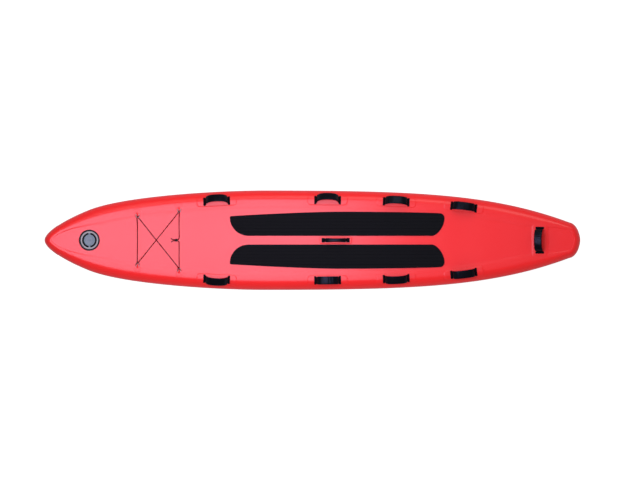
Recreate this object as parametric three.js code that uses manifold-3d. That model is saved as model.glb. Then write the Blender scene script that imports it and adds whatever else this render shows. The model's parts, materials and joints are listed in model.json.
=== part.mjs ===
// Inflatable rescue board: a drop-stitch hull with side rails, deck pads, grab handles,
// a bungee on the bow, an air valve, a tow ring and a fin box.
// Millimetres. X runs from the nose (-) to the tail (+), Z is up, and Z = 0 is the lowest
// point of the hull, so the board lies on the floor on its flat belly. Left and right are
// those of a rider who faces the nose, so the right rail lies at +Y.

import * as THREE from "three";
import { mergeVertices } from "three/addons/utils/BufferGeometryUtils.js";
import Module from "manifold-3d";

const wasm = await Module();
wasm.setup();

// Hull
const boardLength = 3810;
const boardWidth = 710;
const boardThickness = 152;
const noseRocker = 170;
const noseRockerStart = 600;
const tailRocker = 80;
const tailRockerStart = 850;
const railBulge = 70;
const tipBulge = 44;
const tipTaper = 420;
const skinThickness = 1.4;
const bandThickness = 1.4;
const bandLap = 34;
const tipLap = 3;
const skinInset = 1.2;
const tipPatchReach = 96;
const tipPatchThickness = 0.9;
const tipPatchGap = 0.6;
const clearance = 0.3;
const seamGap = 0.4;
const patchGap = 0.9;
const cutOverrun = 5;

// Half outline in plan, from the nose tip round one side to the tail end, as four cubic
// curves. Each pair is a share of half the length and a share of half the width.
const outlineShares = [
  [-1, 0], [-1, 0.165], [-0.925, 0.417], [-0.8325, 0.615],
  [-0.7025, 0.888], [-0.36, 1], [-0.177, 1],
  [0.396, 1], [0.677, 0.931], [0.9647, 0.35],
  [0.9937, 0.2915], [1, 0.056], [1, 0],
];
const curveSteps = [6, 5, 7, 5];

// Drop-stitch core
const fabricThickness = 0.8;
const threadRadius = 1.6;
const threadRowPitch = 230;
const threadColumnPitch = 118;
const threadEdgeMargin = 30;

// Deck pads
const padThickness = 5;
const padNose = 590;
const padTail = 939;
const padInner = 31;
const padOuterNose = 172;
const padNoseShoulder = 182;
const padOuterWidest = 203;
const padTailShoulder = 198;
const padOuterTail = 192;
const padNoseCurve = 135;
const padNoseBow = 64;
const padNoseCorner = 10;
const padTailCurve = 90;
const padTailBow = 64;
const padTailCorner = 34;
const padGrooveCount = 6;
const padGrooveWidth = 3;
const padGrooveDepth = 1.8;
const padGroovePitch = 24;
// The control points of the pad's outer edge, as shares of its reach to the tail and the nose.
const padTailShares = [0.85, 0.5, 0.22];
const padNoseShares = [0.05, 0.7];
const padCornerShare = 0.45;
const padEndShare = 0.4;

// Grab handles. A side handle's place is a share of half the length; its lean is how far
// the loop flops outwards at rest, in degrees.
const sideHandleShares = [-0.359, 0.056, 0.3125, 0.565];
const rightLeans = [22, 28, 10, 0];
const leftLeans = [16, -8, 5, 0];
const handleInset = 68;
const shoulderTilt = 9;
const sideHandle = {
  length: 190, width: 52, rise: 46, strapWidth: 48, strapThickness: 2.6, gripThickness: 9,
  tabLength: 14, tabWidth: 60, tabThickness: 7, axisHeight: 4, neck: 3,
  patchLength: 286, patchWidth: 74, patchThickness: 1.2, gripShare: 0.66, roundShare: 0.25,
};
const tailHandle = { ...sideHandle, width: 55, strapWidth: 50, patchLength: 236, patchWidth: 120 };
const tailHandleFromTail = 288;
const tailHandleLean = -12;
const carryHandle = {
  length: 200, width: 28, rise: 40, strapWidth: 20, strapThickness: 2.6, gripThickness: 15,
  tabLength: 22, tabWidth: 32, tabThickness: 7, axisHeight: 4, neck: 3,
  patchLength: 236, patchWidth: 54, patchThickness: 1.2, gripShare: 0.6, roundShare: 0.5,
};
const carryHandleAft = 164;
// The loop of a handle seen from the side: shares of its half span and of its rise.
const loopShares = [[-1, 0], [-0.97, 0.2], [-0.9, 0.46], [-0.7, 0.78], [-0.37, 0.96], [0, 1]];
const neckSpreadShare = 1.25;
// A patch narrows to this share of its width at its ends.
const cornerShare = 0.82;
const loopSteps = 12;

// Air valve
const valveFromNose = 317;
const valveRingOuter = 75;
const valveRingInner = 65;
const valveRingThickness = 2;
const flangeRadius = 64;
const flangeHeight = 5;
const bowlRadius = 53;
const bowlWall = 3;
const bowlDepth = 20;
const bowlFloor = 3;
const collarRadius = 36;
const collarBore = 31;
const collarHeight = 15;
const throatDepth = 44;
const seatBore = 21;
const guideRadius = 6;
const guideDepth = 29;
const guideThickness = 3;
const guideRibWidth = 4;
const capRadius = 41;
const capTopHeight = 4;
const capThickness = 3;
const capLugWidth = 13;
const capLugReach = 51;
const capLugThickness = 4;
const plungerDisc = 26;
const plungerDiscThickness = 3;
const plungerStem = 4;
const plungerButton = 9;
const plungerButtonThickness = 3;
const plungerButtonDrop = 8;
const springWire = 0.7;
const springRadius = 6.6;
const springTurns = 4;
const nutThickness = 9;
const nutOuter = 68;
const valveSag = 0.9;

// Bow bungee. The rear anchors' place is a share of half the length, and the front anchors
// and the cord lock lie ahead of them.
const cordRadius = 3;
const cordSteps = 88;
const rearAnchorShare = 0.4992;
const rearAnchorOut = 221;
const frontAnchorAhead = 296;
const frontAnchorOut = 182;
const anchorPatchRadius = 25;
const anchorPatchThickness = 1.4;
const anchorPatchOffset = 20;
const ringWire = 2;
const ringWidth = 25;
const ringReach = 22;
const ringPlay = 0.7;
// The bow of a ring, as shares of its half width and of its reach.
const ringBowShares = [[0.92, 0.55], [0.5, 0.92], [0, 1], [-0.5, 0.92], [-0.92, 0.55]];
const ringBarShare = 0.55;
const ringLift = 5.2;
const ringTilt = 14;
const loopWall = 1.6;
const loopWidth = 13;
const loopTail = 24;
const lockRadius = 10;
const lockLength = 16.8;
const lockSlotWidth = 14.6;
const lockSlotHeight = 7.2;
const lockButtonRadius = 5.5;
const lockButtonReach = 7;
const lockButtonDepth = 3.6;
const lockHeight = 9;
const lockAhead = 20;

// Tow ring under the bow
const towFromNose = 205;
const towPatchRadius = 42;
const towRingWidth = 32;
const towRingReach = 34;
const towWire = 2.5;
const towDrop = 6.2;

// Fin box under the tail
const finBoxFromTail = 405;
const finFlangeLength = 290;
const finFlangeWidth = 96;
const finFlangeThickness = 2;
const finBodyLength = 244;
const finBodyWidth = 34;
const finBodyHeight = 15;
const finSlotLength = 222;
const finSlotWidth = 9.8;
const finTrackWidth = 16;
const finTrackHeight = 4.5;
const finTrackTop = 4;
const finSlotFloor = 2;
const nutLength = 15;
const nutBore = 2.2;
const nutForward = 70;

const halfLength = boardLength / 2;
const halfWidth = boardWidth / 2;
const midHeight = boardThickness / 2;
const skinOut = midHeight - bandThickness - clearance;
const skinIn = skinOut - skinThickness;
const coreOut = skinIn - clearance;
const coreIn = coreOut - fabricThickness;
const valveForward = halfLength - valveFromNose;
const rearAnchorForward = halfLength * rearAnchorShare;
const frontAnchorForward = rearAnchorForward + frontAnchorAhead;
const lockForward = rearAnchorForward + lockAhead;
const towForward = halfLength - towFromNose;
const tailHandleAft = halfLength - tailHandleFromTail;
const finBoxAft = halfLength - finBoxFromTail;

const white = [0.9, 0.9, 0.88];
const finishes = {
  deckRed: { color: [0.93, 0.17, 0.18], roughness: 0.42, metalness: 0 },
  railRed: { color: [0.86, 0.1, 0.1], roughness: 0.4, metalness: 0 },
  patchRed: { color: [0.88, 0.14, 0.15], roughness: 0.45, metalness: 0 },
  core: { color: white, roughness: 0.9, metalness: 0 },
  foam: { color: [0.05, 0.055, 0.065], roughness: 0.85, metalness: 0 },
  webbing: { color: [0.04, 0.04, 0.045], roughness: 0.8, metalness: 0 },
  neoprene: { color: [0.05, 0.05, 0.06], roughness: 0.5, metalness: 0 },
  blackPlastic: { color: [0.06, 0.05, 0.06], roughness: 0.5, metalness: 0 },
  greyPlastic: { color: [0.6, 0.6, 0.6], roughness: 0.5, metalness: 0 },
  capPlastic: { color: [0.42, 0.47, 0.54], roughness: 0.45, metalness: 0 },
  steel: { color: [0.75, 0.76, 0.78], roughness: 0.25, metalness: 1 },
};

const board = new THREE.Group();

function addMesh(name, geometry, finish, parent = board) {
  const { color, roughness, metalness } = finishes[finish];
  const material = new THREE.MeshStandardMaterial({ roughness, metalness });
  material.color.setRGB(...color);
  const mesh = new THREE.Mesh(geometry, material);
  mesh.name = name;
  parent.add(mesh);
  return mesh;
}

// Mesh helpers

const vec = (x, y, z) => new THREE.Vector3(x, y, z);
const degrees = THREE.MathUtils.degToRad;

function bareGeometry(geometry) {
  const bare = geometry.clone();
  bare.deleteAttribute("normal");
  bare.deleteAttribute("uv");
  return mergeVertices(bare);
}

function toSolid(geometry) {
  const bare = bareGeometry(geometry);
  return new wasm.Manifold(new wasm.Mesh({
    numProp: 3,
    vertProperties: Float32Array.from(bare.attributes.position.array),
    triVerts: Uint32Array.from(bare.index.array),
  }));
}

function toGeometry(solid) {
  const { vertProperties, triVerts, numProp } = solid.getMesh();
  const geometry = new THREE.BufferGeometry();
  const points = [];
  for (let i = 0; i < vertProperties.length; i += numProp) {
    points.push(vertProperties[i], vertProperties[i + 1], vertProperties[i + 2]);
  }
  geometry.setAttribute("position", new THREE.Float32BufferAttribute(points, 3));
  geometry.setIndex(Array.from(triVerts));
  return geometry;
}

// Builds an indexed geometry and turns it inside out if its faces point inwards.
function closedGeometry(points, triangles) {
  let volume = 0;
  for (const [a, b, c] of triangles) {
    volume += points[a].dot(points[b].clone().cross(points[c]));
  }
  const faces = volume < 0 ? triangles.map(([a, b, c]) => [a, c, b]) : triangles;
  const geometry = new THREE.BufferGeometry();
  const flat = points.flatMap((point) => point.toArray());
  geometry.setAttribute("position", new THREE.Float32BufferAttribute(flat, 3));
  geometry.setIndex(faces.flat());
  return geometry;
}

// A closed body between two grids of points, rows by columns, such as the two sides of a sheet.
function slab(outer, inner) {
  const rows = outer.length;
  const columns = outer[0].length;
  const points = [...outer.flat(), ...inner.flat()];
  const top = (i, j) => i * columns + j;
  const under = (i, j) => rows * columns + top(i, j);
  const triangles = [];
  const quad = (a, b, c, d) => triangles.push([a, b, c], [a, c, d]);
  for (let i = 0; i + 1 < rows; i += 1) {
    for (let j = 0; j + 1 < columns; j += 1) {
      quad(top(i, j), top(i + 1, j), top(i + 1, j + 1), top(i, j + 1));
      quad(under(i, j), under(i, j + 1), under(i + 1, j + 1), under(i + 1, j));
    }
    quad(top(i, 0), under(i, 0), under(i + 1, 0), top(i + 1, 0));
    quad(top(i + 1, columns - 1), under(i + 1, columns - 1), under(i, columns - 1), top(i, columns - 1));
  }
  for (let j = 0; j + 1 < columns; j += 1) {
    quad(top(0, j), top(0, j + 1), under(0, j + 1), under(0, j));
    quad(top(rows - 1, j + 1), top(rows - 1, j), under(rows - 1, j), under(rows - 1, j + 1));
  }
  return closedGeometry(points, triangles);
}

// A closed body between two stacks of rings, open right through, such as a sleeve.
function sleeveBetween(outer, inner) {
  const rows = outer.length;
  const columns = outer[0].length;
  const points = [...outer.flat(), ...inner.flat()];
  const outside = (i, j) => i * columns + (j % columns);
  const inside = (i, j) => rows * columns + outside(i, j);
  const triangles = [];
  const quad = (a, b, c, d) => triangles.push([a, b, c], [a, c, d]);
  for (let j = 0; j < columns; j += 1) {
    for (let i = 0; i + 1 < rows; i += 1) {
      quad(outside(i, j), outside(i + 1, j), outside(i + 1, j + 1), outside(i, j + 1));
      quad(inside(i, j), inside(i, j + 1), inside(i + 1, j + 1), inside(i + 1, j));
    }
    quad(outside(0, j), outside(0, j + 1), inside(0, j + 1), inside(0, j));
    quad(outside(rows - 1, j + 1), outside(rows - 1, j), inside(rows - 1, j), inside(rows - 1, j + 1));
  }
  return closedGeometry(points, triangles);
}

// A solid of revolution about Z from a closed profile of [radius, height] corners.
function turned(profile, segments) {
  const corners = profile.map(([radius, height]) => new THREE.Vector2(radius, height));
  const onAxis = corners[0].x === 0;
  const points = onAxis ? corners : [...corners, corners[0].clone()];
  const geometry = new THREE.LatheGeometry(points, segments);
  geometry.rotateX(Math.PI / 2);
  return tidy(geometry);
}

// Merges shared vertices, drops triangles of no area and makes the faces point outwards.
function tidy(geometry) {
  const bare = bareGeometry(geometry);
  const { position } = bare.attributes;
  const points = [];
  for (let i = 0; i < position.count; i += 1) {
    points.push(vec(position.getX(i), position.getY(i), position.getZ(i)));
  }
  const triangles = [];
  for (let i = 0; i < bare.index.count; i += 3) {
    const [a, b, c] = [0, 1, 2].map((k) => bare.index.getX(i + k));
    if (a !== b && b !== c && c !== a) triangles.push([a, b, c]);
  }
  return closedGeometry(points, triangles);
}

function boxAt(length, width, height, x, y, z) {
  return new THREE.BoxGeometry(length, width, height).translate(x, y, z);
}

function rodAlongX(radius, length, segments) {
  return new THREE.CylinderGeometry(radius, radius, length, segments).rotateZ(Math.PI / 2);
}

function rodAlongZ(radius, length, segments, middle) {
  const rod = new THREE.CylinderGeometry(radius, radius, length, segments);
  return rod.rotateX(Math.PI / 2).translate(0, 0, middle);
}

// The hull's surface

const outlineCurves = [0, 3, 6, 9].map((first) => new THREE.CubicBezierCurve(
  ...outlineShares.slice(first, first + 4)
    .map(([along, across]) => new THREE.Vector2(along * halfLength, across * halfWidth)),
));

const smooth = (share) => THREE.MathUtils.smoothstep(share, 0, 1);
const fromTip = (x) => smooth((halfLength - Math.abs(x)) / tipTaper);
const grow = (x, atTip, amidships) => atTip + (amidships - atTip) * fromTip(x);

// A station holds the edge of the hull in plan, the way out from it, and the rim where the
// rail's curve begins.
function makeStation(curve, share) {
  const edge = curve.getPoint(share);
  const tangent = curve.getTangent(share);
  const out = new THREE.Vector2(-tangent.y, tangent.x);
  const bulge = grow(edge.x, tipBulge, railBulge);
  const rim = edge.clone().addScaledVector(out, -bulge);
  return { edge, out, bulge, rim, lap: grow(edge.x, tipLap, bandLap) };
}

const stations = outlineCurves.flatMap((curve, index) => {
  const steps = curveSteps[index];
  const last = index === outlineCurves.length - 1 ? 1 : 0;
  return Array.from({ length: steps + last }, (_, step) => makeStation(curve, step / steps));
});

function rocker(x) {
  const forward = Math.max(0, -x - noseRockerStart) / (halfLength - noseRockerStart);
  const aft = Math.max(0, x - tailRockerStart) / (halfLength - tailRockerStart);
  return noseRocker * forward ** 2 + tailRocker * aft ** 2;
}

const knots = [-halfLength, ...stations.map((station) => station.rim.x), halfLength];

// How far the hull is lifted at x, straight between the stations as its facets are.
function lift(x) {
  const next = knots.findIndex((knot) => knot >= x);
  if (next <= 0) return rocker(x);
  const share = (x - knots[next - 1]) / (knots[next] - knots[next - 1]);
  return THREE.MathUtils.lerp(rocker(knots[next - 1]), rocker(knots[next]), share);
}

const slopeAt = (x) => (lift(x + cutOverrun) - lift(x - cutOverrun)) / (2 * cutOverrun);

const edgeSamples = outlineCurves.flatMap((curve) => curve.getPoints(60));

// Half the hull's width at x, and the slope of the edge there.
function edgeAt(x) {
  const next = edgeSamples.findIndex((point) => point.x > x);
  const [before, after] = [edgeSamples[next - 1], edgeSamples[next]];
  const share = (x - before.x) / (after.x - before.x);
  return {
    reach: THREE.MathUtils.lerp(before.y, after.y, share),
    slope: (after.y - before.y) / (after.x - before.x),
  };
}

// Height of the outside of the hull over a point of the deck, with the rail band on it.
function bandTop(x, y) {
  const { reach, slope } = edgeAt(x);
  const inboard = (reach - Math.abs(y)) / Math.hypot(1, slope);
  const bulge = grow(x, tipBulge, railBulge);
  const share = Math.min(1, Math.max(0, (bulge - inboard) / bulge));
  return midHeight + lift(x) + midHeight * Math.sqrt(1 - share ** 2);
}

const deckTop = (x) => midHeight + lift(x) + skinOut;

// The line on which a flat piece, reaching fore and aft of x, touches the curved deck.
function deckSeat(x, reach) {
  const [fore, aft] = [deckTop(x - reach), deckTop(x + reach)];
  return { height: (fore + aft) / 2, pitch: -Math.atan((aft - fore) / (2 * reach)) };
}

// The same for a flat piece under the belly, which bulges down between its two ends.
function bellySeat(x, reach) {
  const { height, pitch } = deckSeat(x, reach);
  const line = (at) => height - Math.tan(pitch) * (at - x);
  const sags = knots.filter((knot) => Math.abs(knot - x) < reach).map((knot) => line(knot) - deckTop(knot));
  return { height: height - 2 * skinOut - Math.max(0, ...sags), pitch };
}

// A point of the rail's section at a station, set out from the hull's surface by offset.
// turn runs from 0 on the deck to 1 on the belly; inboard is how far in on the flat it lies.
function railPoint(station, turn, inboard, offset, side) {
  const angle = turn * Math.PI;
  const reach = (station.bulge + offset) * Math.sin(angle) - inboard;
  const across = station.rim.clone().addScaledVector(station.out, reach);
  const height = (midHeight + offset) * Math.cos(angle);
  const away = Math.max(across.y, seamGap / 2);
  return vec(across.x, side * away, midHeight + lift(across.x) + height);
}

const railTurns = Array.from({ length: 9 }, (_, step) => step / 8);

function railSection(station, offset, side, lap) {
  const turns = railTurns.map((turn) => railPoint(station, turn, 0, offset, side));
  return [railPoint(station, 0, lap, offset, side), ...turns, railPoint(station, 1, lap, offset, side)];
}

function railBand(side) {
  const grid = (offset) => stations.map((station) => railSection(station, offset, side, station.lap));
  return slab(grid(0), grid(-bandThickness));
}

// A patch wrapped over the seam between the two rail bands at one end of the board.
function tipPatch(end) {
  const near = stations.filter((station) => end * station.edge.x > halfLength - tipPatchReach);
  const ordered = end < 0 ? near : [...near].reverse();
  const wrap = (offset) => [
    ...[...ordered].reverse().map((station) => railSection(station, offset, 1, 0)),
    ...ordered.map((station) => railSection(station, offset, -1, 0)),
  ];
  return slab(wrap(tipPatchGap + tipPatchThickness), wrap(tipPatchGap));
}

// A flat skin or fabric between the rims, from one height above the mid-plane to another.
function panel(top, bottom, margin) {
  const rows = stations.map(({ rim, out }) => {
    const edge = rim.clone().addScaledVector(out, -skinInset - margin);
    return { x: edge.x, reach: Math.max(edge.y, tipLap / 2) };
  });
  const grid = (height) => rows.map(({ x, reach }) => [-1, 1]
    .map((side) => vec(x, side * reach, midHeight + lift(x) + height)));
  return slab(grid(top), grid(bottom));
}

const valveSeat = deckSeat(-valveForward, valveRingOuter);

function valveCutter(radius, depth) {
  const length = depth + cutOverrun * 2;
  return new THREE.CylinderGeometry(radius, radius, length, 24)
    .rotateX(Math.PI / 2)
    .translate(0, 0, cutOverrun * 2 - length / 2)
    .rotateY(valveSeat.pitch)
    .translate(-valveForward, 0, valveSeat.height);
}

function deckSkin() {
  const hole = valveCutter(bowlRadius + bowlWall + clearance, cutOverrun);
  return toGeometry(toSolid(panel(skinOut, skinIn, 0)).subtract(toSolid(hole)));
}

// Two woven fabrics tied together by bundles of drop threads, with room for the valve.
function dropStitchCore() {
  const valveRoom = nutOuter + cutOverrun;
  let core = toSolid(panel(coreOut, coreIn, clearance))
    .add(toSolid(panel(-coreIn, -coreOut, clearance)));
  const threadLength = coreOut + coreIn;
  const rows = Math.floor((boardLength - threadRowPitch) / threadRowPitch / 2);
  for (let row = -rows; row <= rows; row += 1) {
    const x = row * threadRowPitch;
    const { reach } = edgeAt(x);
    const room = reach - railBulge - threadEdgeMargin;
    const columns = Math.floor(room / threadColumnPitch);
    for (let column = -columns; column <= columns; column += 1) {
      const y = column * threadColumnPitch;
      if (Math.hypot(x + valveForward, y) < valveRoom + cutOverrun) continue;
      const thread = new THREE.CylinderGeometry(threadRadius, threadRadius, threadLength, 3)
        .rotateX(Math.PI / 2)
        .translate(x, y, midHeight + lift(x));
      core = core.add(toSolid(thread));
    }
  }
  return toGeometry(core.subtract(toSolid(valveCutter(valveRoom, nutThickness * 2))));
}

// Deck pads

function padOutline() {
  const shape = new THREE.Shape();
  const [tailFull, tailEase, widest] = padTailShares.map((share) => share * padTail);
  const [noseEase, noseFull] = padNoseShares.map((share) => share * -padNose);
  shape.moveTo(-padNose + padNoseCurve, padInner);
  shape.lineTo(padTail - padTailCurve, padInner);
  shape.bezierCurveTo(
    padTail - padTailCurve * (1 - padEndShare), padInner,
    padTail, padInner + padTailBow,
    padTail, padOuterTail - padTailCorner,
  );
  shape.bezierCurveTo(
    padTail, padOuterTail - padTailCorner * padCornerShare,
    padTail - padTailCorner * padCornerShare, padOuterTail,
    padTail - padTailCorner, padOuterTail,
  );
  shape.bezierCurveTo(tailFull, padTailShoulder, tailEase, padOuterWidest, widest, padOuterWidest);
  shape.bezierCurveTo(
    noseEase, padOuterWidest,
    noseFull, padNoseShoulder,
    -padNose + padNoseCorner, padOuterNose,
  );
  shape.lineTo(-padNose, padOuterNose - padNoseCorner);
  shape.bezierCurveTo(
    -padNose, padInner + padNoseBow,
    -padNose + padNoseCurve * padEndShare, padInner,
    -padNose + padNoseCurve, padInner,
  );
  return shape;
}

function deckPad(side) {
  const blank = new THREE.ExtrudeGeometry(padOutline(), {
    depth: padThickness, bevelEnabled: false, curveSegments: 7, steps: 1,
  });
  let pad = toSolid(blank);
  const grooveLength = padNose + padTail + cutOverrun * 2;
  const firstGroove = (padInner + padOuterWidest - (padGrooveCount - 1) * padGroovePitch) / 2;
  for (let groove = 0; groove < padGrooveCount; groove += 1) {
    pad = pad.subtract(toSolid(boxAt(
      grooveLength, padGrooveWidth, padGrooveDepth * 2,
      (padTail - padNose) / 2, firstGroove + groove * padGroovePitch, padThickness,
    )));
  }
  return laidOnDeck(pad, side);
}

// Lays a flat sheet on the deck, cut where the hull's facets meet so that each length of it
// stays flat.
function laidOnDeck(sheet, side) {
  const across = boardWidth + cutOverrun;
  let laid = null;
  for (let i = 0; i + 1 < knots.length; i += 1) {
    const [from, to] = [knots[i], knots[i + 1]];
    const gauge = boxAt(to - from, across, boardThickness, (from + to) / 2, 0, 0);
    const length = sheet.intersect(toSolid(gauge));
    if (length.isEmpty()) continue;
    const geometry = toGeometry(length);
    const position = geometry.attributes.position;
    for (let k = 0; k < position.count; k += 1) {
      const x = position.getX(k);
      position.setXYZ(k, x, side * position.getY(k), deckTop(x) + clearance + position.getZ(k));
    }
    const placed = toSolid(tidy(geometry));
    laid = laid ? laid.add(placed) : placed;
  }
  return toGeometry(laid);
}

// Handles

// A frame on the hull: origin on the surface, X along the handle, Z out of the surface.
function surfaceFrame(x, y, along, tilt, height) {
  const forward = vec(along.x, along.y, slopeAt(x) * along.x).normalize();
  const flatUp = vec(-slopeAt(x), 0, 1).normalize();
  const sideways = flatUp.clone().cross(forward).normalize();
  const frame = new THREE.Group();
  const up = forward.clone().cross(sideways).normalize();
  frame.quaternion.setFromRotationMatrix(new THREE.Matrix4().makeBasis(forward, sideways, up));
  frame.rotateX(tilt);
  frame.position.set(x, y, height);
  frame.updateMatrixWorld();
  return frame;
}

// A patch that follows the hull, sampled in the frame's plane, with its two sewn tabs.
function handleBase(frame, sizes, surface) {
  const half = sizes.patchLength / 2;
  const wide = sizes.patchWidth / 2;
  const tabStart = sizes.length / 2 - sizes.tabLength;
  const alongShares = [-1, -0.93, 0, 0.93, 1];
  const acrossShares = [-1, -0.6, -0.2, 0.2, 0.6, 1];
  const rise = vec(0, 0, 1).transformDirection(frame.matrixWorld);
  const place = (along, across, height) => {
    const point = frame.localToWorld(vec(along, across, 0));
    point.z = surface(point.x, point.y) + patchGap;
    return point.addScaledVector(rise, height);
  };
  const grid = (alongs, acrosses, height) => alongs
    .map((along) => acrosses.map((across) => place(along, across(along), height)));
  const rounded = (share) => (along) => share * (Math.abs(along) === half ? wide * cornerShare : wide);
  const patchAlong = alongShares.map((share) => share * half);
  const patchAcross = acrossShares.map(rounded);
  const patch = slab(grid(patchAlong, patchAcross, sizes.patchThickness), grid(patchAlong, patchAcross, 0));
  const tabAcross = acrossShares.map((share) => () => share * sizes.tabWidth / 2);
  let base = toSolid(patch);
  for (const end of [-1, 1]) {
    const tabAlong = [tabStart + clearance, sizes.length / 2].map((along) => along * end);
    const sunk = sizes.patchThickness / 2;
    const top = sizes.patchThickness + sizes.tabThickness;
    base = base.add(toSolid(slab(grid(tabAlong, tabAcross, top), grid(tabAlong, tabAcross, sunk))));
  }
  return toGeometry(base);
}

// The points of a handle's loop in its own plane, from one tab to the other.
function loopPoints(sizes, steps) {
  const halfSpan = (sizes.length - sizes.strapThickness) / 2 - sizes.tabLength;
  const rising = loopShares.map(([along, up]) => vec(along * halfSpan, 0, up * sizes.rise));
  const falling = rising.slice(0, -1).reverse().map((point) => vec(-point.x, 0, point.z));
  return new THREE.CatmullRomCurve3([...rising, ...falling], false, "centripetal").getSpacedPoints(steps);
}

function loopFrames(points) {
  return points.map((point, i) => {
    const before = points[Math.max(i - 1, 0)];
    const after = points[Math.min(i + 1, points.length - 1)];
    const along = after.clone().sub(before).normalize();
    return { point, out: vec(-along.z, 0, along.x) };
  });
}

function loopStrap(sizes) {
  const frames = loopFrames(loopPoints(sizes, loopSteps));
  const half = sizes.strapWidth / 2;
  const grid = (offset) => frames.map(({ point, out }) => {
    const wide = Math.min(half, sizes.neck + neckSpreadShare * point.z);
    return [-1, 1].map((side) => point.clone().addScaledVector(out, offset).setY(side * wide));
  });
  return slab(grid(sizes.strapThickness / 2), grid(-sizes.strapThickness / 2));
}

// A padded sleeve round the strap, with its long edges rounded.
function loopGrip(sizes) {
  const margin = Math.round(loopSteps * (1 - sizes.gripShare) / 2);
  const frames = loopFrames(loopPoints(sizes, loopSteps)).slice(margin, loopSteps + 1 - margin);
  const section = (wide, thick, round) => [
    [-wide, -thick + round], [-wide, thick - round], [-wide + round, thick], [wide - round, thick],
    [wide, thick - round], [wide, -thick + round], [wide - round, -thick], [-wide + round, -thick],
  ];
  const rings = (corners) => frames.map(({ point, out }) => corners
    .map(([across, offset]) => point.clone().addScaledVector(out, offset).setY(across)));
  const thick = sizes.gripThickness / 2;
  const boreWide = sizes.strapWidth / 2 + clearance;
  const boreThick = sizes.strapThickness / 2 + clearance;
  return sleeveBetween(
    rings(section(sizes.width / 2, thick, thick * 2 * sizes.roundShare)),
    rings(section(boreWide, boreThick, boreThick / 4)),
  );
}

function addHandle(names, frame, sizes, surface, lean) {
  addMesh(names.base, handleBase(frame, sizes, surface), "patchRed");
  const origin = frame.localToWorld(vec(0, 0, 0));
  const rise = vec(0, 0, 1).transformDirection(frame.matrixWorld);
  origin.z = surface(origin.x, origin.y) + patchGap;
  origin.addScaledVector(rise, sizes.patchThickness + sizes.axisHeight);
  const loop = new THREE.Group();
  loop.position.copy(origin);
  loop.quaternion.copy(frame.quaternion);
  loop.rotateX(lean);
  addMesh(names.strap, loopStrap(sizes), "webbing", loop);
  addMesh(names.grip, loopGrip(sizes), "neoprene", loop);
  board.add(loop);
}

function addSideHandles(side, word, leans) {
  sideHandleShares.forEach((share, index) => {
    const x = share * halfLength;
    const { reach, slope } = edgeAt(x);
    const y = side * (reach - handleInset);
    const along = new THREE.Vector2(1, side * slope);
    const frame = surfaceFrame(x, y, along, -side * degrees(shoulderTilt), bandTop(x, y));
    const names = {
      base: `handle_base_${word}_${index + 1}`,
      strap: `handle_strap_${word}_${index + 1}`,
      grip: `handle_grip_${word}_${index + 1}`,
    };
    addHandle(names, frame, sideHandle, bandTop, -side * degrees(leans[index]));
  });
}

function addEndHandles() {
  const carryFrame = surfaceFrame(carryHandleAft, 0, new THREE.Vector2(1, 0), 0, deckTop(carryHandleAft));
  const carryNames = { base: "carry_base", strap: "carry_strap", grip: "carry_grip" };
  addHandle(carryNames, carryFrame, carryHandle, deckTop, 0);
  const tailFrame = surfaceFrame(tailHandleAft, 0, new THREE.Vector2(0, 1), 0, deckTop(tailHandleAft));
  const tailNames = { base: "tail_handle_base", strap: "tail_handle_strap", grip: "tail_handle_grip" };
  addHandle(tailNames, tailFrame, tailHandle, bandTop, degrees(tailHandleLean));
}

// Air valve, built about its own axis and then set square to the sloping deck

function valveBody() {
  const bowlOut = bowlRadius + bowlWall;
  return turned([
    [bowlRadius, flangeHeight],
    [flangeRadius - flangeHeight / 2, flangeHeight],
    [flangeRadius, flangeHeight / 2],
    [flangeRadius, clearance * 2],
    [bowlOut, clearance * 2],
    [bowlOut, -bowlDepth - bowlFloor],
    [collarRadius, -bowlDepth - bowlFloor],
    [collarRadius, -throatDepth],
    [seatBore, -throatDepth],
    [seatBore, -throatDepth + bowlFloor],
    [collarBore, -throatDepth + bowlFloor * 2],
    [collarBore, -bowlDepth + collarHeight],
    [collarRadius, -bowlDepth + collarHeight],
    [collarRadius, -bowlDepth],
    [bowlRadius, -bowlDepth],
  ], 24);
}

// A three-armed guide inside the throat carries the plunger's stem.
function valveGuide() {
  const hubInside = plungerStem + clearance;
  const ribStart = (hubInside + guideRadius) / 2;
  const ribLength = (collarBore + collarRadius) / 2 - ribStart;
  const middle = -guideDepth - guideThickness / 2;
  let guide = toSolid(turned([
    [hubInside, -guideDepth], [guideRadius, -guideDepth],
    [guideRadius, -guideDepth - guideThickness], [hubInside, -guideDepth - guideThickness],
  ], 16));
  for (let arm = 0; arm < 3; arm += 1) {
    const rib = boxAt(ribLength, guideRibWidth, guideThickness, ribStart + ribLength / 2, 0, middle);
    guide = guide.add(toSolid(rib.rotateZ(arm * Math.PI * 2 / 3)));
  }
  return guide;
}

function valveBodyWithGuide() {
  return toGeometry(toSolid(valveBody()).add(valveGuide()));
}

function valveCap() {
  const lipTop = capTopHeight - capThickness;
  const lipBottom = -bowlDepth + collarHeight / 3;
  const lipIn = collarRadius + clearance;
  let cap = toSolid(turned([
    [0, lipTop], [0, capTopHeight], [capRadius - capThickness, capTopHeight], [capRadius, lipTop],
    [capRadius, lipBottom], [lipIn, lipBottom], [lipIn, lipTop],
  ].reverse(), 24));
  for (const side of [-1, 1]) {
    const reach = capLugReach - capRadius + capThickness;
    const lug = boxAt(capLugWidth, reach, capLugThickness, 0, side * (capLugReach - reach / 2), lipTop);
    cap = cap.add(toSolid(lug));
  }
  return toGeometry(cap);
}

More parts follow.
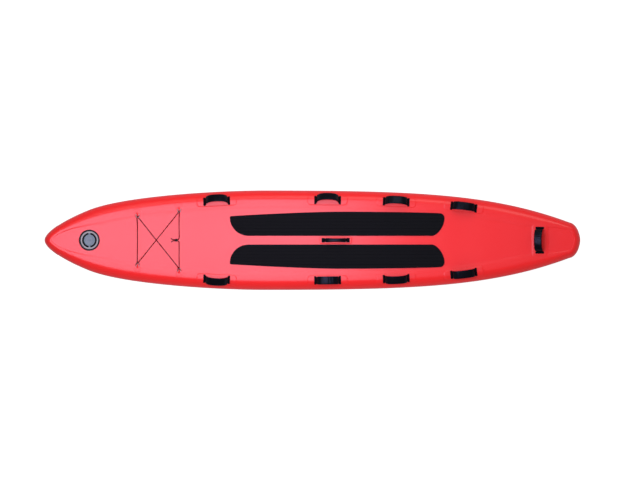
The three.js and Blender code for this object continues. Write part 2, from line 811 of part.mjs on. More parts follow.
function valvePlunger() {
  const discTop = -throatDepth - clearance;
  const buttonTop = -bowlDepth + collarHeight - plungerButtonDrop;
  return turned([
    [0, discTop - plungerDiscThickness],
    [plungerDisc, discTop - plungerDiscThickness],
    [plungerDisc, discTop],
    [plungerStem, discTop],
    [plungerStem, buttonTop - plungerButtonThickness],
    [plungerButton, buttonTop - plungerButtonThickness],
    [plungerButton, buttonTop],
    [0, buttonTop],
  ], 16);
}

// The spring stands on the guide and lifts the plunger's button.
function valveSpring() {
  const bottom = -guideDepth + springWire + clearance;
  const buttonUnder = -bowlDepth + collarHeight - plungerButtonDrop - plungerButtonThickness;
  const top = buttonUnder - springWire - clearance;
  const steps = springTurns * 8;
  const rings = Array.from({ length: steps + 1 }, (_, step) => {
    const angle = (step / 8) * Math.PI * 2;
    const height = THREE.MathUtils.lerp(bottom, top, step / steps);
    return Array.from({ length: 5 }, (_unused, corner) => {
      const around = (corner / 5) * Math.PI * 2;
      const radius = springRadius + springWire * Math.cos(around);
      const level = height + springWire * Math.sin(around);
      return vec(radius * Math.cos(angle), radius * Math.sin(angle), level);
    });
  });
  const pitch = (top - bottom) / springTurns;
  console.log(`valve spring: least gap between turns ${(pitch - springWire * 2).toFixed(2)} mm`);
  return ringStack(rings);
}

// A round tube through points, its section carried along without twisting.
function tubeThrough(points, radius, corners) {
  let side = vec(0, 0, 1);
  const rings = points.map((point, i) => {
    const before = points[Math.max(i - 1, 0)];
    const after = points[Math.min(i + 1, points.length - 1)];
    const along = after.clone().sub(before).normalize();
    side = side.clone().addScaledVector(along, -side.dot(along)).normalize();
    const across = along.clone().cross(side);
    return Array.from({ length: corners }, (_, corner) => {
      const angle = (corner / corners) * Math.PI * 2;
      return point.clone()
        .addScaledVector(side, radius * Math.cos(angle))
        .addScaledVector(across, radius * Math.sin(angle));
    });
  });
  return ringStack(rings);
}

// A closed body through a stack of rings, with a flat cap at each end.
function ringStack(rings) {
  const columns = rings[0].length;
  const points = rings.flat();
  const at = (i, j) => i * columns + (j % columns);
  const triangles = [];
  for (let i = 0; i + 1 < rings.length; i += 1) {
    for (let j = 0; j < columns; j += 1) {
      triangles.push([at(i, j), at(i + 1, j), at(i + 1, j + 1)]);
      triangles.push([at(i, j), at(i + 1, j + 1), at(i, j + 1)]);
    }
  }
  for (let j = 1; j + 1 < columns; j += 1) {
    triangles.push([at(0, 0), at(0, j), at(0, j + 1)]);
    triangles.push([at(rings.length - 1, 0), at(rings.length - 1, j + 1), at(rings.length - 1, j)]);
  }
  return closedGeometry(points, triangles);
}

function addValve() {
  const frame = new THREE.Group();
  frame.position.set(-valveForward, 0, valveSeat.height);
  frame.rotateY(valveSeat.pitch);
  frame.translateZ(clearance);
  const lowest = -skinThickness - valveSag - clearance * 2;
  const nutIn = bowlRadius + bowlWall + clearance;
  addMesh("valve_weld_ring", turned([
    [valveRingInner, 0], [valveRingOuter, 0],
    [valveRingOuter, valveRingThickness], [valveRingInner, valveRingThickness],
  ], 28), "blackPlastic", frame);
  addMesh("valve_body", valveBodyWithGuide(), "greyPlastic", frame);
  addMesh("valve_nut", turned([
    [nutIn, lowest - nutThickness], [nutOuter, lowest - nutThickness], [nutOuter, lowest], [nutIn, lowest],
  ], 24), "blackPlastic", frame);
  addMesh("valve_cap", valveCap(), "capPlastic", frame);
  addMesh("valve_plunger", valvePlunger(), "blackPlastic", frame);
  addMesh("valve_spring", valveSpring(), "steel", frame);
  board.add(frame);
}

// Rings and their anchors

// A D-shaped wire ring in the XY plane: its bar lies on the X axis, its bow reaches to -Y.
function wireRing(width, reach, wire) {
  const half = width / 2;
  const bar = half * ringBarShare;
  const bow = ringBowShares.map(([across, down]) => vec(across * half, -down * reach, 0));
  const points = [vec(-bar, 0, 0), vec(bar, 0, 0), vec(half, -wire, 0), ...bow, vec(-half, -wire, 0)];
  const curve = new THREE.CatmullRomCurve3(points, true, "centripetal");
  return tidy(new THREE.TubeGeometry(curve, 15, wire, 5, true));
}

// A round patch with a webbing loop on it that holds a ring's bar, the bar on the X axis.
function ringAnchor(patchRadius, offset, barHeight, wire, width, tail) {
  const bore = wire + ringPlay;
  const outer = bore + loopWall;
  const patch = new THREE.CylinderGeometry(patchRadius, patchRadius, anchorPatchThickness, 24)
    .rotateX(Math.PI / 2)
    .translate(0, offset, anchorPatchThickness / 2);
  const loop = rodAlongX(outer, width, 12).translate(0, 0, barHeight);
  const strap = boxAt(width, tail, barHeight, 0, tail / 2, barHeight / 2);
  return toGeometry(toSolid(patch)
    .add(toSolid(loop))
    .add(toSolid(strap))
    .subtract(toSolid(rodAlongX(bore, width + cutOverrun, 12).translate(0, 0, barHeight))));
}

function addBungeeAnchor(word, x, y) {
  const side = Math.sign(y);
  const seat = deckSeat(x, anchorPatchRadius);
  const frame = new THREE.Group();
  frame.position.set(x, y, seat.height + bandThickness + clearance * 2);
  frame.rotateY(seat.pitch);
  frame.rotateZ(side > 0 ? 0 : Math.PI);
  addMesh(
    `anchor_patch_${word}`,
    ringAnchor(anchorPatchRadius, anchorPatchOffset, ringLift, ringWire, loopWidth, loopTail),
    "patchRed", frame,
  );
  const ring = addMesh(`anchor_ring_${word}`, wireRing(ringWidth, ringReach, ringWire), "steel", frame);
  ring.position.z = ringLift;
  ring.rotation.x = -degrees(ringTilt);
  board.add(frame);
}

// The cord's route, chosen by hand: along the board from the rear anchors, across it, and
// height over the deck. It starts and ends in the two tails at the cord lock and turns
// through the four rings.
const cordRoute = [
  [-56, 11.5, 5.6], [-49, 6.5, 7.2], [-41, 4, 9], [-25, 4, 9], [-10, 4, 9], [-3, 8, 9],
  [0, 17, 8.5], [0, 60, 4], [0, 130, 4], [1, 168, 9], [2, 190, 16], [2, 200, 18], [1.5, 207, 16],
  [0.5, 209.6, 11], [-1, 207, 6], [-4, 200, 4], [-11, 190, 3.8], [-52.5, 138, 3.7],
  [-162.8, 0, 3.8], [-212.3, -62, 4.1], [-254.6, -115, 4.8], [-279.4, -146, 9.4],
  [-289, -158, 16], [-294, -162, 18], [-297, -168, 16], [-298, -170.6, 11], [-298, -168, 6],
  [-297.5, -161, 4], [-297, -140, 3.7], [-296, 0, 3.7], [-296, 110, 4], [-296.5, 135, 9],
  [-297, 152, 16], [-297, 161, 18], [-296, 168, 16], [-294.5, 170.6, 11], [-292.5, 168, 6],
  [-289, 161, 4], [-277, 146, 3.7], [-228.4, 85, 4], [-189.4, 36, 9.8], [-167.8, 9, 10.8],
  [-146.3, -18, 9.8], [-100, -76, 4], [-42.6, -148, 4.5], [-17, -180, 10], [-6, -194, 16],
  [-2, -200, 18], [0, -206.5, 16], [1, -209.6, 11], [1, -207, 6], [1, -200, 4], [0, -180, 3.7],
  [0, -60, 4], [0, -17, 8.5], [-3, -8, 9], [-10, -4, 9], [-25, -4, 9], [-41, -4, 9],
  [-48, -7.5, 7.6], [-55, -13, 5.8],
];

function bungeeCord() {
  const points = cordRoute.map(([along, y, height]) => {
    const x = along - rearAnchorForward;
    return vec(x, y, deckTop(x) + height);
  });
  const curve = new THREE.CatmullRomCurve3(points, false, "centripetal");
  console.log(`bungee cord: ${curve.getLength().toFixed(0)} mm long`);
  return tubeThrough(curve.getPoints(cordSteps), cordRadius, 8);
}

// An upright barrel lock: both tails pass through its slot, and a button presses in from above.
function addCordLock() {
  const frame = new THREE.Group();
  frame.position.set(-lockForward, 0, deckTop(-lockForward) + lockHeight);
  frame.rotateY(-Math.atan(slopeAt(-lockForward)));
  const barrel = rodAlongZ(lockRadius, lockLength, 16, 0);
  const slot = boxAt(lockRadius * 2 + cutOverrun, lockSlotWidth, lockSlotHeight, 0, 0, 0);
  const well = rodAlongZ(lockButtonRadius + clearance, lockButtonDepth * 2, 16, lockLength / 2);
  const body = toSolid(barrel).subtract(toSolid(slot)).subtract(toSolid(well));
  addMesh("cord_lock_body", toGeometry(body), "blackPlastic", frame);
  const buttonDepth = lockButtonDepth / 4;
  const buttonMiddle = lockLength / 2 + (lockButtonReach - buttonDepth) / 2;
  const button = rodAlongZ(lockButtonRadius, lockButtonReach + buttonDepth, 12, buttonMiddle);
  addMesh("cord_lock_button", bareGeometry(button), "blackPlastic", frame);
  board.add(frame);
}

function addBungee() {
  addMesh("bungee_cord", bungeeCord(), "webbing");
  for (const [side, word] of [[-1, "left"], [1, "right"]]) {
    addBungeeAnchor(`front_${word}`, -frontAnchorForward, side * frontAnchorOut);
    addBungeeAnchor(`rear_${word}`, -rearAnchorForward, side * rearAnchorOut);
  }
  addCordLock();
}

function addTowRing() {
  const frame = new THREE.Group();
  const seat = bellySeat(-towForward, towPatchRadius);
  frame.position.set(-towForward, 0, seat.height - clearance);
  frame.rotateY(seat.pitch);
  frame.rotateX(Math.PI);
  frame.rotateZ(Math.PI / 2);
  addMesh(
    "tow_anchor",
    ringAnchor(towPatchRadius, 0, towDrop, towWire, loopWidth, loopTail),
    "patchRed", frame,
  );
  const ring = addMesh("tow_ring", wireRing(towRingWidth, towRingReach, towWire), "steel", frame);
  ring.position.z = towDrop;
  ring.rotation.x = -Math.PI / 2;
  board.add(frame);
}

// A long box with a slot and an undercut track, on a flange glued to the belly. Its frame's
// Z points down, out of the belly.
function finBox() {
  const mouth = finFlangeThickness + finBodyHeight;
  const flange = boxAt(finFlangeLength, finFlangeWidth, finFlangeThickness, 0, 0, finFlangeThickness / 2);
  const body = boxAt(finBodyLength, finBodyWidth, mouth, 0, 0, mouth / 2);
  const slotDepth = mouth - finSlotFloor;
  const slot = boxAt(
    finSlotLength, finSlotWidth, slotDepth + cutOverrun, 0, 0, finSlotFloor + (slotDepth + cutOverrun) / 2,
  );
  const track = boxAt(
    finSlotLength, finTrackWidth, finTrackHeight, 0, 0, mouth - finTrackTop - finTrackHeight / 2,
  );
  return toGeometry(toSolid(flange).add(toSolid(body)).subtract(toSolid(slot)).subtract(toSolid(track)));
}

function addFinBox() {
  const frame = new THREE.Group();
  const seat = bellySeat(finBoxAft, finFlangeLength / 2);
  frame.position.set(finBoxAft, 0, seat.height - clearance);
  frame.rotateY(seat.pitch);
  frame.rotateX(Math.PI);
  addMesh("fin_box", finBox(), "blackPlastic", frame);
  const trackMiddle = finFlangeThickness + finBodyHeight - finTrackTop - finTrackHeight / 2;
  const plate = boxAt(nutLength, finTrackWidth - clearance * 2, finTrackHeight - clearance * 2, 0, 0, 0);
  const bore = new THREE.CylinderGeometry(nutBore, nutBore, finTrackHeight * 2, 12).rotateX(Math.PI / 2);
  const nut = addMesh("fin_nut", toGeometry(toSolid(plate).subtract(toSolid(bore))), "steel", frame);
  nut.position.set(-nutForward, 0, trackMiddle);
  board.add(frame);
}

addMesh("deck_skin", deckSkin(), "deckRed");
addMesh("bottom_skin", panel(-skinIn, -skinOut, 0), "railRed");
addMesh("drop_stitch_core", dropStitchCore(), "core");
addMesh("rail_band_left", railBand(-1), "railRed");
addMesh("rail_band_right", railBand(1), "railRed");
addMesh("nose_patch", tipPatch(-1), "railRed");
addMesh("tail_patch", tipPatch(1), "railRed");
addMesh("deck_pad_left", deckPad(-1), "foam");
addMesh("deck_pad_right", deckPad(1), "foam");
addSideHandles(-1, "left", leftLeans);
addSideHandles(1, "right", rightLeans);
addEndHandles();
addValve();
addBungee();
addTowRing();
addFinBox();

export default board;
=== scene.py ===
"""Looks of the inflatable rescue board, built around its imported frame.

Metres, +Z up, nose towards -X, right rail towards +Y. The hull, pads, loops and fittings are
rebuilt as smooth pieces over the frame's solids, from the same formulas as those solids.
"""

import bisect
import json
import math

import bmesh
import bpy
from mathutils import Matrix, Vector, noise


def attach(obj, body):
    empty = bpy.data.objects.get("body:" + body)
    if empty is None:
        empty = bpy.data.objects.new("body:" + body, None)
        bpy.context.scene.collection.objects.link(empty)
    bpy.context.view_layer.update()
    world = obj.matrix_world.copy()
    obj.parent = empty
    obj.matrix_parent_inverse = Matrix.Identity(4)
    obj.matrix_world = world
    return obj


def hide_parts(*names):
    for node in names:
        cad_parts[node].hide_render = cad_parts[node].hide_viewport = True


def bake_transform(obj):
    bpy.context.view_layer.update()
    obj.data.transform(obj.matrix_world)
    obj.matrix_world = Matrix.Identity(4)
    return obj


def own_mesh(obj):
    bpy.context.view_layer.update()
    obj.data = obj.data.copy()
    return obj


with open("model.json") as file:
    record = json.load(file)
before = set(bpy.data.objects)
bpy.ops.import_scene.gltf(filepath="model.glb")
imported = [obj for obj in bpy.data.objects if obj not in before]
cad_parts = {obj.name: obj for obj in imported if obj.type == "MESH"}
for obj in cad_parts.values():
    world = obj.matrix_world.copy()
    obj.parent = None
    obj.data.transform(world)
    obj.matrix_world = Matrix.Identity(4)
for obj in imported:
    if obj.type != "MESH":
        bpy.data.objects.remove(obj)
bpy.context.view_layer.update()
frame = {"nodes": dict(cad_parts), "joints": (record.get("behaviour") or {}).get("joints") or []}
joints = {joint["name"]: joint for joint in frame["joints"]}

# Camera and photograph
photo_width = 640
metres_per_pixel = 0.007125
board_middle_pixel = (312.65, 240.2)
photo_middle_pixel = (320, 240)
sensor_width = 0.036
lens_length = 0.4
clip_range = (1.0, 200.0)
floor_level = -0.0005
floor_sheen = 0.08
sky_rise = (0.0, 0.9)
mirror_rise = (0.04, 0.3)
deck_level = 0.15

# Hull
half_length = 1.905
half_width = 0.355
mid_height = 0.076
nose_rocker = 0.17
nose_rocker_start = 0.6
tail_rocker = 0.08
tail_rocker_start = 0.85
rail_bulge = 0.07
tip_bulge = 0.044
tip_taper = 0.42
skin_thickness = 0.0014
skin_out = 0.0743
skin_inset = 0.0012
band_thickness = 0.0014
band_lap = 0.034
tip_lap = 0.003
lap_taper = 0.03
lap_shares = (1, 0.9, 0.78, 0.64, 0.5, 0.36, 0.22, 0.1, 0)
lap_edge = 0.00176
lap_gap = 0.0005
seam_gap = 0.0004
tip_patch_reach = 0.096
tip_patch_thickness = 0.0015
tip_patch_rim = 0.0005
tip_patch_gap = 0.0001
tip_patch_edge_share = 0.8
facet_steps = (6, 5, 7, 5)
hull_steps = (34, 26, 26, 40)
edge_steps = 80
skin_steps = 12
slope_step = 0.005
ease_reach = 0.06
ease_steps = 6
rail_turns = 30

# Half outline in plan from the nose tip to the tail end, as four cubic curves. Each pair is
# a share of half the length and a share of half the width.
outline_shares = [
    (-1, 0), (-1, 0.165), (-0.925, 0.417), (-0.8325, 0.615),
    (-0.7025, 0.888), (-0.36, 1), (-0.177, 1),
    (0.396, 1), (0.677, 0.931), (0.9647, 0.35),
    (0.9937, 0.2915), (1, 0.056), (1, 0),
]

# Deck pads
pad_thickness = 0.005
pad_lift = 0.0003
pad_nose = 0.59
pad_tail = 0.939
pad_inner = 0.031
pad_outer_nose = 0.172
pad_nose_shoulder = 0.182
pad_outer_widest = 0.203
pad_tail_shoulder = 0.198
pad_outer_tail = 0.192
pad_nose_curve = 0.135
pad_nose_bow = 0.064
pad_nose_corner = 0.01
pad_tail_curve = 0.09
pad_tail_bow = 0.064
pad_tail_corner = 0.034
pad_tail_shares = (0.85, 0.5, 0.22)
pad_nose_shares = (0.05, 0.7)
pad_corner_share = 0.45
pad_end_share = 0.4
pad_inner_steps = 24
pad_bevel = 0.0016
groove_count = 6
groove_pitch = 0.024
groove_width = 0.003
groove_depth = 0.0018
groove_lip = 0.0008
groove_floor_rise = 0.0002
groove_clearance = 0.0001
groove_overrun = 0.001
groove_end_overrun = 0.01
groove_width_shares = (2.2, 2.2, 1, 0.8, 0.5)

# Grab handles
side_sizes = dict(
    length=0.19, width=0.057, rise=0.046, strap_width=0.051, grip_thickness=0.009,
    tab_length=0.014, tab_width=0.06, tab_thickness=0.007,
    patch_length=0.286, patch_width=0.074, patch_feather=0.0035, grip_share=0.84,
)
tail_sizes = dict(side_sizes, patch_length=0.236, patch_width=0.12, patch_feather=0.016)
carry_sizes = dict(
    length=0.2, width=0.032, rise=0.04, strap_width=0.024, grip_thickness=0.015,
    tab_length=0.022, tab_width=0.032, tab_thickness=0.007,
    patch_length=0.236, patch_width=0.054, patch_feather=0.0035, grip_share=0.78,
)
right_leans = (22, 28, 10, 0)
left_leans = (16, -8, 5, 0)
tail_lean = -12
shoulder_tilt = 9
strap_thickness = 0.0026
patch_thickness = 0.0021
patch_rim = 0.0004
patch_gap = 0.0001
hinge_height = 0.0061
patch_corner = 0.026
patch_corner_share = 0.7
patch_end_shares = (0.96, 0.985, 1)
patch_side_shares = (0.85, 0.97, 1)
tab_shares = (-1, -0.93, -0.75, -0.3, 0.3, 0.75, 0.93, 1)
tab_drop_shares = (0.45, 0.78, 0.97, 1, 1, 0.97, 0.78, 0.45)
tab_stitch_shares = (0.45, 0.78)
lean_rise = 0.015
loop_shares = [(-1, 0), (-0.97, 0.2), (-0.9, 0.46), (-0.7, 0.78), (-0.37, 0.96), (0, 1)]
strap_foot = ((-0.0095, 0.0004), (-0.003, 0.0008), (0, 0.0035))
tab_stitch_lift = 0.0001
grip_steps = 84
grip_squareness = dict(slim=3.2, broad=4.5)
grip_end_share = 0.05
grip_thick_shares = (0.62, 0.38)
grip_wide_shares = (0.955, 0.045)
slim_width = 0.04
slim_waist_share = 0.2
binding_swell = 0.0006
binding_shares = (0.1, 0.03)
grip_stitch_inset = 0.005
grip_stitch_lift = 0.0003
grip_stitch_margin = 4

# Wrinkles of a grip: how fast the noise runs along, across and through the sleeve
wrinkle_depth = 0.0011
bulge_rates = (9.0, 26, 60)
bulge_seed_step = 3.7
bulge_weight = 0.9
crease_rates = (22.0, 14, 20)
crease_seed_step = 1.3
crease_weight = 1.4
crease_floor = 0.25
edge_wobble = 0.01
lip_floor = 1e-6

# Stitches
stitch_length = 0.0034
stitch_width = 0.0009
stitch_pitch = 0.005
stitch_sides = 6
stitch_shoulder_share = 0.25

# Air valve, by radius and height over the deck in its own frame
valve_ring_inner = 0.0641
valve_ring_outer = 0.075
valve_ring_height = 0.0024
valve_ring_edge_share = 0.8
valve_ring_flare = 0.0004
valve_ring_sink = 0.0028
valve_ring_round = 0.0009
flange_radius = 0.064
flange_height = 0.005
flange_chamfer = 0.0022
flange_edge_drop = 0.0026
flange_gap = 0.0002
body_round = 0.0007
hole_clearance = 0.0003
hole_reach = 0.03
bowl_radius = 0.053
bowl_wall = 0.003
bowl_depth = 0.02
collar_radius = 0.036
collar_bore = 0.031
collar_height = 0.015
throat_depth = 0.044
seat_bore = 0.021
guide_radius = 0.006
guide_bore = 0.0043
guide_depth = 0.029
guide_thickness = 0.003
arm_count = 3
arm_width = 0.004
arm_overlap = 0.003
arm_round = 0.0004
# Trough sizes: a black lining in the valve's groove, painted shade for its recess
trough_gap = 0.0002
trough_lift = 0.0006
trough_floor = 0.0012
trough_top = 0.003
trough_wall_top = 0.0009
trough_wall_foot = 0.0012
trough_round = 0.0003
stop_size = (0.02, 0.0042, 0.0075)
stop_sink = 0.0004
stop_height = 0.0012
stop_round = 0.0009
cap_radius = 0.041
cap_top = 0.004
cap_thickness = 0.003
cap_dish = 0.0012
cap_step_share = 0.74
cap_rise = collar_height / 3
cap_clearance = 0.0003
cap_round = 0.0008
lug_reach = 0.051
lug_width = 0.013
lug_height = 0.004
lug_round = 0.001
bar_size = (0.044, 0.0075, 0.0026)
bar_sink = 0.0009
bar_round = 0.001
rib_count = 36
rib_out = 0.0012
rib_width = 0.0026
rib_round = 0.0005
rib_length_share = 0.8
coil_wire = 0.0007
coil_radius = 0.0066
coil_turns = 4
coil_turn_steps = 28

# Bow bungee
cord_radius = 0.003
cord_end_radius = cord_radius * 1.12
cord_end_out = 0.0014
cord_end_grip = 0.007
cord_end_round = 0.0012
rear_anchor_forward = 0.951
front_anchor_forward = 1.247
rear_anchor_out = 0.221
front_anchor_out = 0.182
bow_sizes = dict(patch_radius=0.025, patch_offset=0.02, bar_height=0.0052, wire=0.002,
                 width=0.025, reach=0.022)
anchor_thickness = 0.0014
anchor_seat = 0.002
anchor_sink = 0.0016
anchor_round = 0.001
ring_tilt = 14
ring_bow_shares = [(0.92, 0.55), (0.5, 0.92), (0, 1), (-0.5, 0.92), (-0.92, 0.55)]
ring_bar_share = 0.55
loop_width = 0.013
loop_wall = 0.0015
loop_slack = 0.0006
loop_stitch_lift = 0.0008
loop_tail = 0.024
loop_turns = 14
loop_layer_shares = (1.55, 0.52)
loop_neck_shares = (1.8, 1.5)
loop_sewn_share = 0.6
loop_stitch_side_share = 0.36
loop_stitch_shares = (0.42, 0.94)
lock_radius = 0.01
lock_length = 0.0168
lock_forward = 0.971
lock_height = 0.009
lock_ridge = 0.0006
lock_ridge_run = 0.001
lock_chamfer = 0.0035
lock_end_share = 0.72
lock_ridge_count = 5
lock_ridge_share = 0.25
lock_slot_share = 2.6
lock_slot_width = 0.0148
lock_slot_height = 0.0074
lock_slot_round = 0.001
button_radius = 0.0055
button_reach = 0.007
button_gap = 0.0003
button_well = 0.0036
button_foot = 0.0009
button_round = 0.0012
well_overrun = 0.004

# The cord's route: along the board from the rear anchors, across it, and height over the deck.
cord_route = [
    (-0.056, 0.0115, 0.0056), (-0.049, 0.0065, 0.0072), (-0.041, 0.004, 0.009),
    (-0.025, 0.004, 0.009), (-0.01, 0.004, 0.009), (-0.003, 0.008, 0.009), (0, 0.017, 0.0085),
    (0, 0.06, 0.004), (0, 0.13, 0.004), (0.001, 0.168, 0.009), (0.002, 0.19, 0.016),
    (0.002, 0.2, 0.018), (0.0015, 0.207, 0.016), (0.0005, 0.2096, 0.011), (-0.001, 0.207, 0.006),
    (-0.004, 0.2, 0.004), (-0.011, 0.19, 0.0038), (-0.0525, 0.138, 0.0037), (-0.1628, 0, 0.0038),
    (-0.2123, -0.062, 0.0041), (-0.2546, -0.115, 0.0048), (-0.2794, -0.146, 0.0094),
    (-0.289, -0.158, 0.016), (-0.294, -0.162, 0.018), (-0.297, -0.168, 0.016),
    (-0.298, -0.1706, 0.011), (-0.298, -0.168, 0.006), (-0.2975, -0.161, 0.004),
    (-0.297, -0.14, 0.0037), (-0.296, 0, 0.0037), (-0.296, 0.11, 0.004), (-0.2965, 0.135, 0.009),
    (-0.297, 0.152, 0.016), (-0.297, 0.161, 0.018), (-0.296, 0.168, 0.016),
    (-0.2945, 0.1706, 0.011), (-0.2925, 0.168, 0.006), (-0.289, 0.161, 0.004),
    (-0.277, 0.146, 0.0037), (-0.2284, 0.085, 0.004), (-0.1894, 0.036, 0.0098),
    (-0.1678, 0.009, 0.0108), (-0.1463, -0.018, 0.0098), (-0.1, -0.076, 0.004),
    (-0.0426, -0.148, 0.0045), (-0.017, -0.18, 0.01), (-0.006, -0.194, 0.016),
    (-0.002, -0.2, 0.018), (0, -0.2065, 0.016), (0.001, -0.2096, 0.011), (0.001, -0.207, 0.006),
    (0.001, -0.2, 0.004), (0, -0.18, 0.0037), (0, -0.06, 0.004), (0, -0.017, 0.0085),
    (-0.003, -0.008, 0.009), (-0.01, -0.004, 0.009), (-0.025, -0.004, 0.009),
    (-0.041, -0.004, 0.009), (-0.048, -0.0075, 0.0076), (-0.055, -0.013, 0.0058),
]

# Tow ring
tow_forward = 1.7
tow_sizes = dict(patch_radius=0.042, patch_offset=0, bar_height=0.0062, wire=0.0025,
                 width=0.032, reach=0.034)

# Rounded edges of the frame's solids that stay in sight or inside
bevel_angle = math.radians(40)
bevel_widths = dict(fin_box=0.0014, fin_nut=0.0005, valve_nut=0.0006, valve_plunger=0.0004)


# Mesh helpers

crease = math.radians(38)
corner_limit = 2.2
tiny = 1e-9


def link(name, mesh):
    piece = bpy.data.objects.new(name, mesh)
    bpy.context.scene.collection.objects.link(piece)
    return piece


def soften(mesh):
    mesh.shade_smooth()
    mesh.set_sharp_from_angle(angle=crease)


def piece_from(name, body):
    """A smooth piece with sharp creases, from a bmesh that is used up."""
    mesh = bpy.data.meshes.new(name)
    body.to_mesh(mesh)
    body.free()
    soften(mesh)
    return link(name, mesh)


def distances(points):
    """Running distances along a row of points."""
    runs = [0.0]
    for a, b in zip(points, points[1:]):
        runs.append(runs[-1] + (b - a).length)
    return runs


def framed_shares(ends, reach, count):
    """Shares from -1 to 1: even within a reach, then a few set ones towards both ends."""
    middle = [-reach + 2 * reach * i / count for i in range(count + 1)]
    return [-share for share in reversed(ends)] + middle + list(ends)


def build(name, points, faces, corners=None):
    """A piece from points and faces, with a run and an around for each corner if given."""
    body = bmesh.new()
    verts = [body.verts.new(point) for point in points]
    layer = body.loops.layers.uv.new("Run")
    for index, face in enumerate(faces):
        made = body.faces.new([verts[i] for i in face])
        if corners:
            for loop, corner in zip(made.loops, corners[index]):
                loop[layer].uv = corner
    bmesh.ops.recalc_face_normals(body, faces=body.faces)
    return piece_from(name, body)


def slab(name, top, under):
    """A closed sheet between two grids of points."""
    rows, columns = len(top), len(top[0])
    points = [point for row in top + under for point in row]

    def at(layer, i, j):
        return layer * rows * columns + i * columns + j

    runs = distances([row[columns // 2] for row in top])
    arounds = distances(top[rows // 2])
    faces, corners = [], []
    for layer in (0, 1):
        for i in range(rows - 1):
            for j in range(columns - 1):
                faces.append([at(layer, i, j), at(layer, i + 1, j),
                              at(layer, i + 1, j + 1), at(layer, i, j + 1)])
                corners.append([(runs[i], arounds[j]), (runs[i + 1], arounds[j]),
                                (runs[i + 1], arounds[j + 1]), (runs[i], arounds[j + 1])])
    rim = [(i, 0) for i in range(rows)]
    rim += [(rows - 1, j) for j in range(1, columns)]
    rim += [(i, columns - 1) for i in range(rows - 2, -1, -1)]
    rim += [(0, j) for j in range(columns - 2, 0, -1)]
    for a, b in zip(rim, rim[1:] + rim[:1]):
        faces.append([at(0, *a), at(0, *b), at(1, *b), at(1, *a)])
        spots = [(runs[i], arounds[j]) for i, j in (a, b)]
        corners.append([spots[0], spots[1], spots[1], spots[0]])
    return build(name, points, faces, corners)


def middle_of(ring):
    return sum(ring, Vector()) / len(ring)


def stack(name, rings, closed=False):
    """A body through rings of points, capped at its ends or closed on itself."""
    count = len(rings[0])
    points = [point for ring in rings for point in ring]
    order = rings + rings[:1] if closed else rings
    runs = distances([middle_of(ring) for ring in order])
    broad = rings[len(rings) // 2]
    arounds = distances(broad + broad[:1])
    faces, corners = [], []
    for i in range(len(order) - 1):
        for j in range(count):
            low, high = i * count, (i + 1) % len(rings) * count
            k = (j + 1) % count
            faces.append([low + j, low + k, high + k, high + j])
            corners.append([(runs[i], arounds[j]), (runs[i], arounds[j + 1]),
                            (runs[i + 1], arounds[j + 1]), (runs[i + 1], arounds[j])])
    if not closed:
        faces.append(list(range(count)))
        faces.append(list(range(len(points) - count, len(points))))
        corners += [[(0.0, 0.0)] * count] * 2
    return build(name, points, faces, corners)


def curve_through(points, steps, closed=False):
    """Points of a centripetal Catmull-Rom curve, with a number of steps to each span."""
    if closed:
        spread = [points[-1], *points, points[0], points[1]]
    else:
        spread = [points[0] * 2 - points[1], *points, points[-1] * 2 - points[-2]]
    path = []
    for p0, p1, p2, p3 in zip(spread, spread[1:], spread[2:], spread[3:]):
        d0, d1, d2 = [math.sqrt((b - a).length) for a, b in ((p0, p1), (p1, p2), (p2, p3))]
        leave = ((p1 - p0) / d0 - (p2 - p0) / (d0 + d1) + (p2 - p1) / d1) * d1
        arrive = ((p2 - p1) / d1 - (p3 - p1) / (d1 + d2) + (p3 - p2) / d2) * d1
        for step in range(steps):
            t = step / steps
            path.append(p1 * (2 * t**3 - 3 * t**2 + 1) + leave * (t**3 - 2 * t**2 + t)
                        + p2 * (3 * t**2 - 2 * t**3) + arrive * (t**3 - t**2))
    return path if closed else path + [points[-1]]


def spaced(path, count):
    """The same path as count + 1 points at even distances."""
    runs = distances(path)
    result, at = [], 0
    for step in range(count + 1):
        goal = runs[-1] * step / count
        while at + 2 < len(path) and runs[at + 1] < goal:
            at += 1
        share = (goal - runs[at]) / (runs[at + 1] - runs[at])
        result.append(path[at].lerp(path[at + 1], min(share, 1.0)))
    return result


def round_section(radius, sides):
    turns = [math.tau * corner / sides for corner in range(sides)]
    return [(radius * math.cos(turn), radius * math.sin(turn)) for turn in turns]


def pillow_section(half_wide, half_thick, sides, square=3.6):
    """A flat oval between a rectangle and an ellipse."""
    result = []
    for turn in [math.tau * corner / sides for corner in range(sides)]:
        wide = math.copysign(abs(math.cos(turn)) ** (2 / square), math.cos(turn))
        thick = math.copysign(abs(math.sin(turn)) ** (2 / square), math.sin(turn))
        result.append((half_wide * wide, half_thick * thick))
    return result


def tube(name, path, radius, sides=12, closed=False):
    """A round wire or cord along a path, its section carried along without twisting."""
    side = Vector((0, 0, 1))
    rings = []
    for i, point in enumerate(path):
        before = path[i - 1] if closed or i else point
        after = path[(i + 1) % len(path)] if closed or i + 1 < len(path) else point
        along = (after - before).normalized()
        side = (side - along * side.dot(along)).normalized()
        across = along.cross(side)
        rings.append([point + side * u + across * v for u, v in round_section(radius, sides)])
    return stack(name, rings, closed)


def turned(name, profile, place, segments=96):
    """A closed body of revolution from a closed profile of radius and height pairs."""
    on_axis = abs(profile[0][0]) < tiny
    points, rings = [], []
    for radius, height in profile:
        if on_axis and abs(radius) < tiny:
            rings.append([len(points)] * segments)
            points.append(place @ Vector((0, 0, height)))
            continue
        rings.append(list(range(len(points), len(points) + segments)))
        for turn in [math.tau * step / segments for step in range(segments)]:
            points.append(place @ Vector((radius * math.cos(turn), radius * math.sin(turn), height)))
    pairs = list(zip(rings, rings[1:])) + ([] if on_axis else [(rings[-1], rings[0])])
    faces = []
    for low, high in pairs:
        for j in range(segments):
            k = (j + 1) % segments
            face = [low[j], low[k], high[k], high[j]]
            faces.append(list(dict.fromkeys(face)))
    return build(name, points, faces)


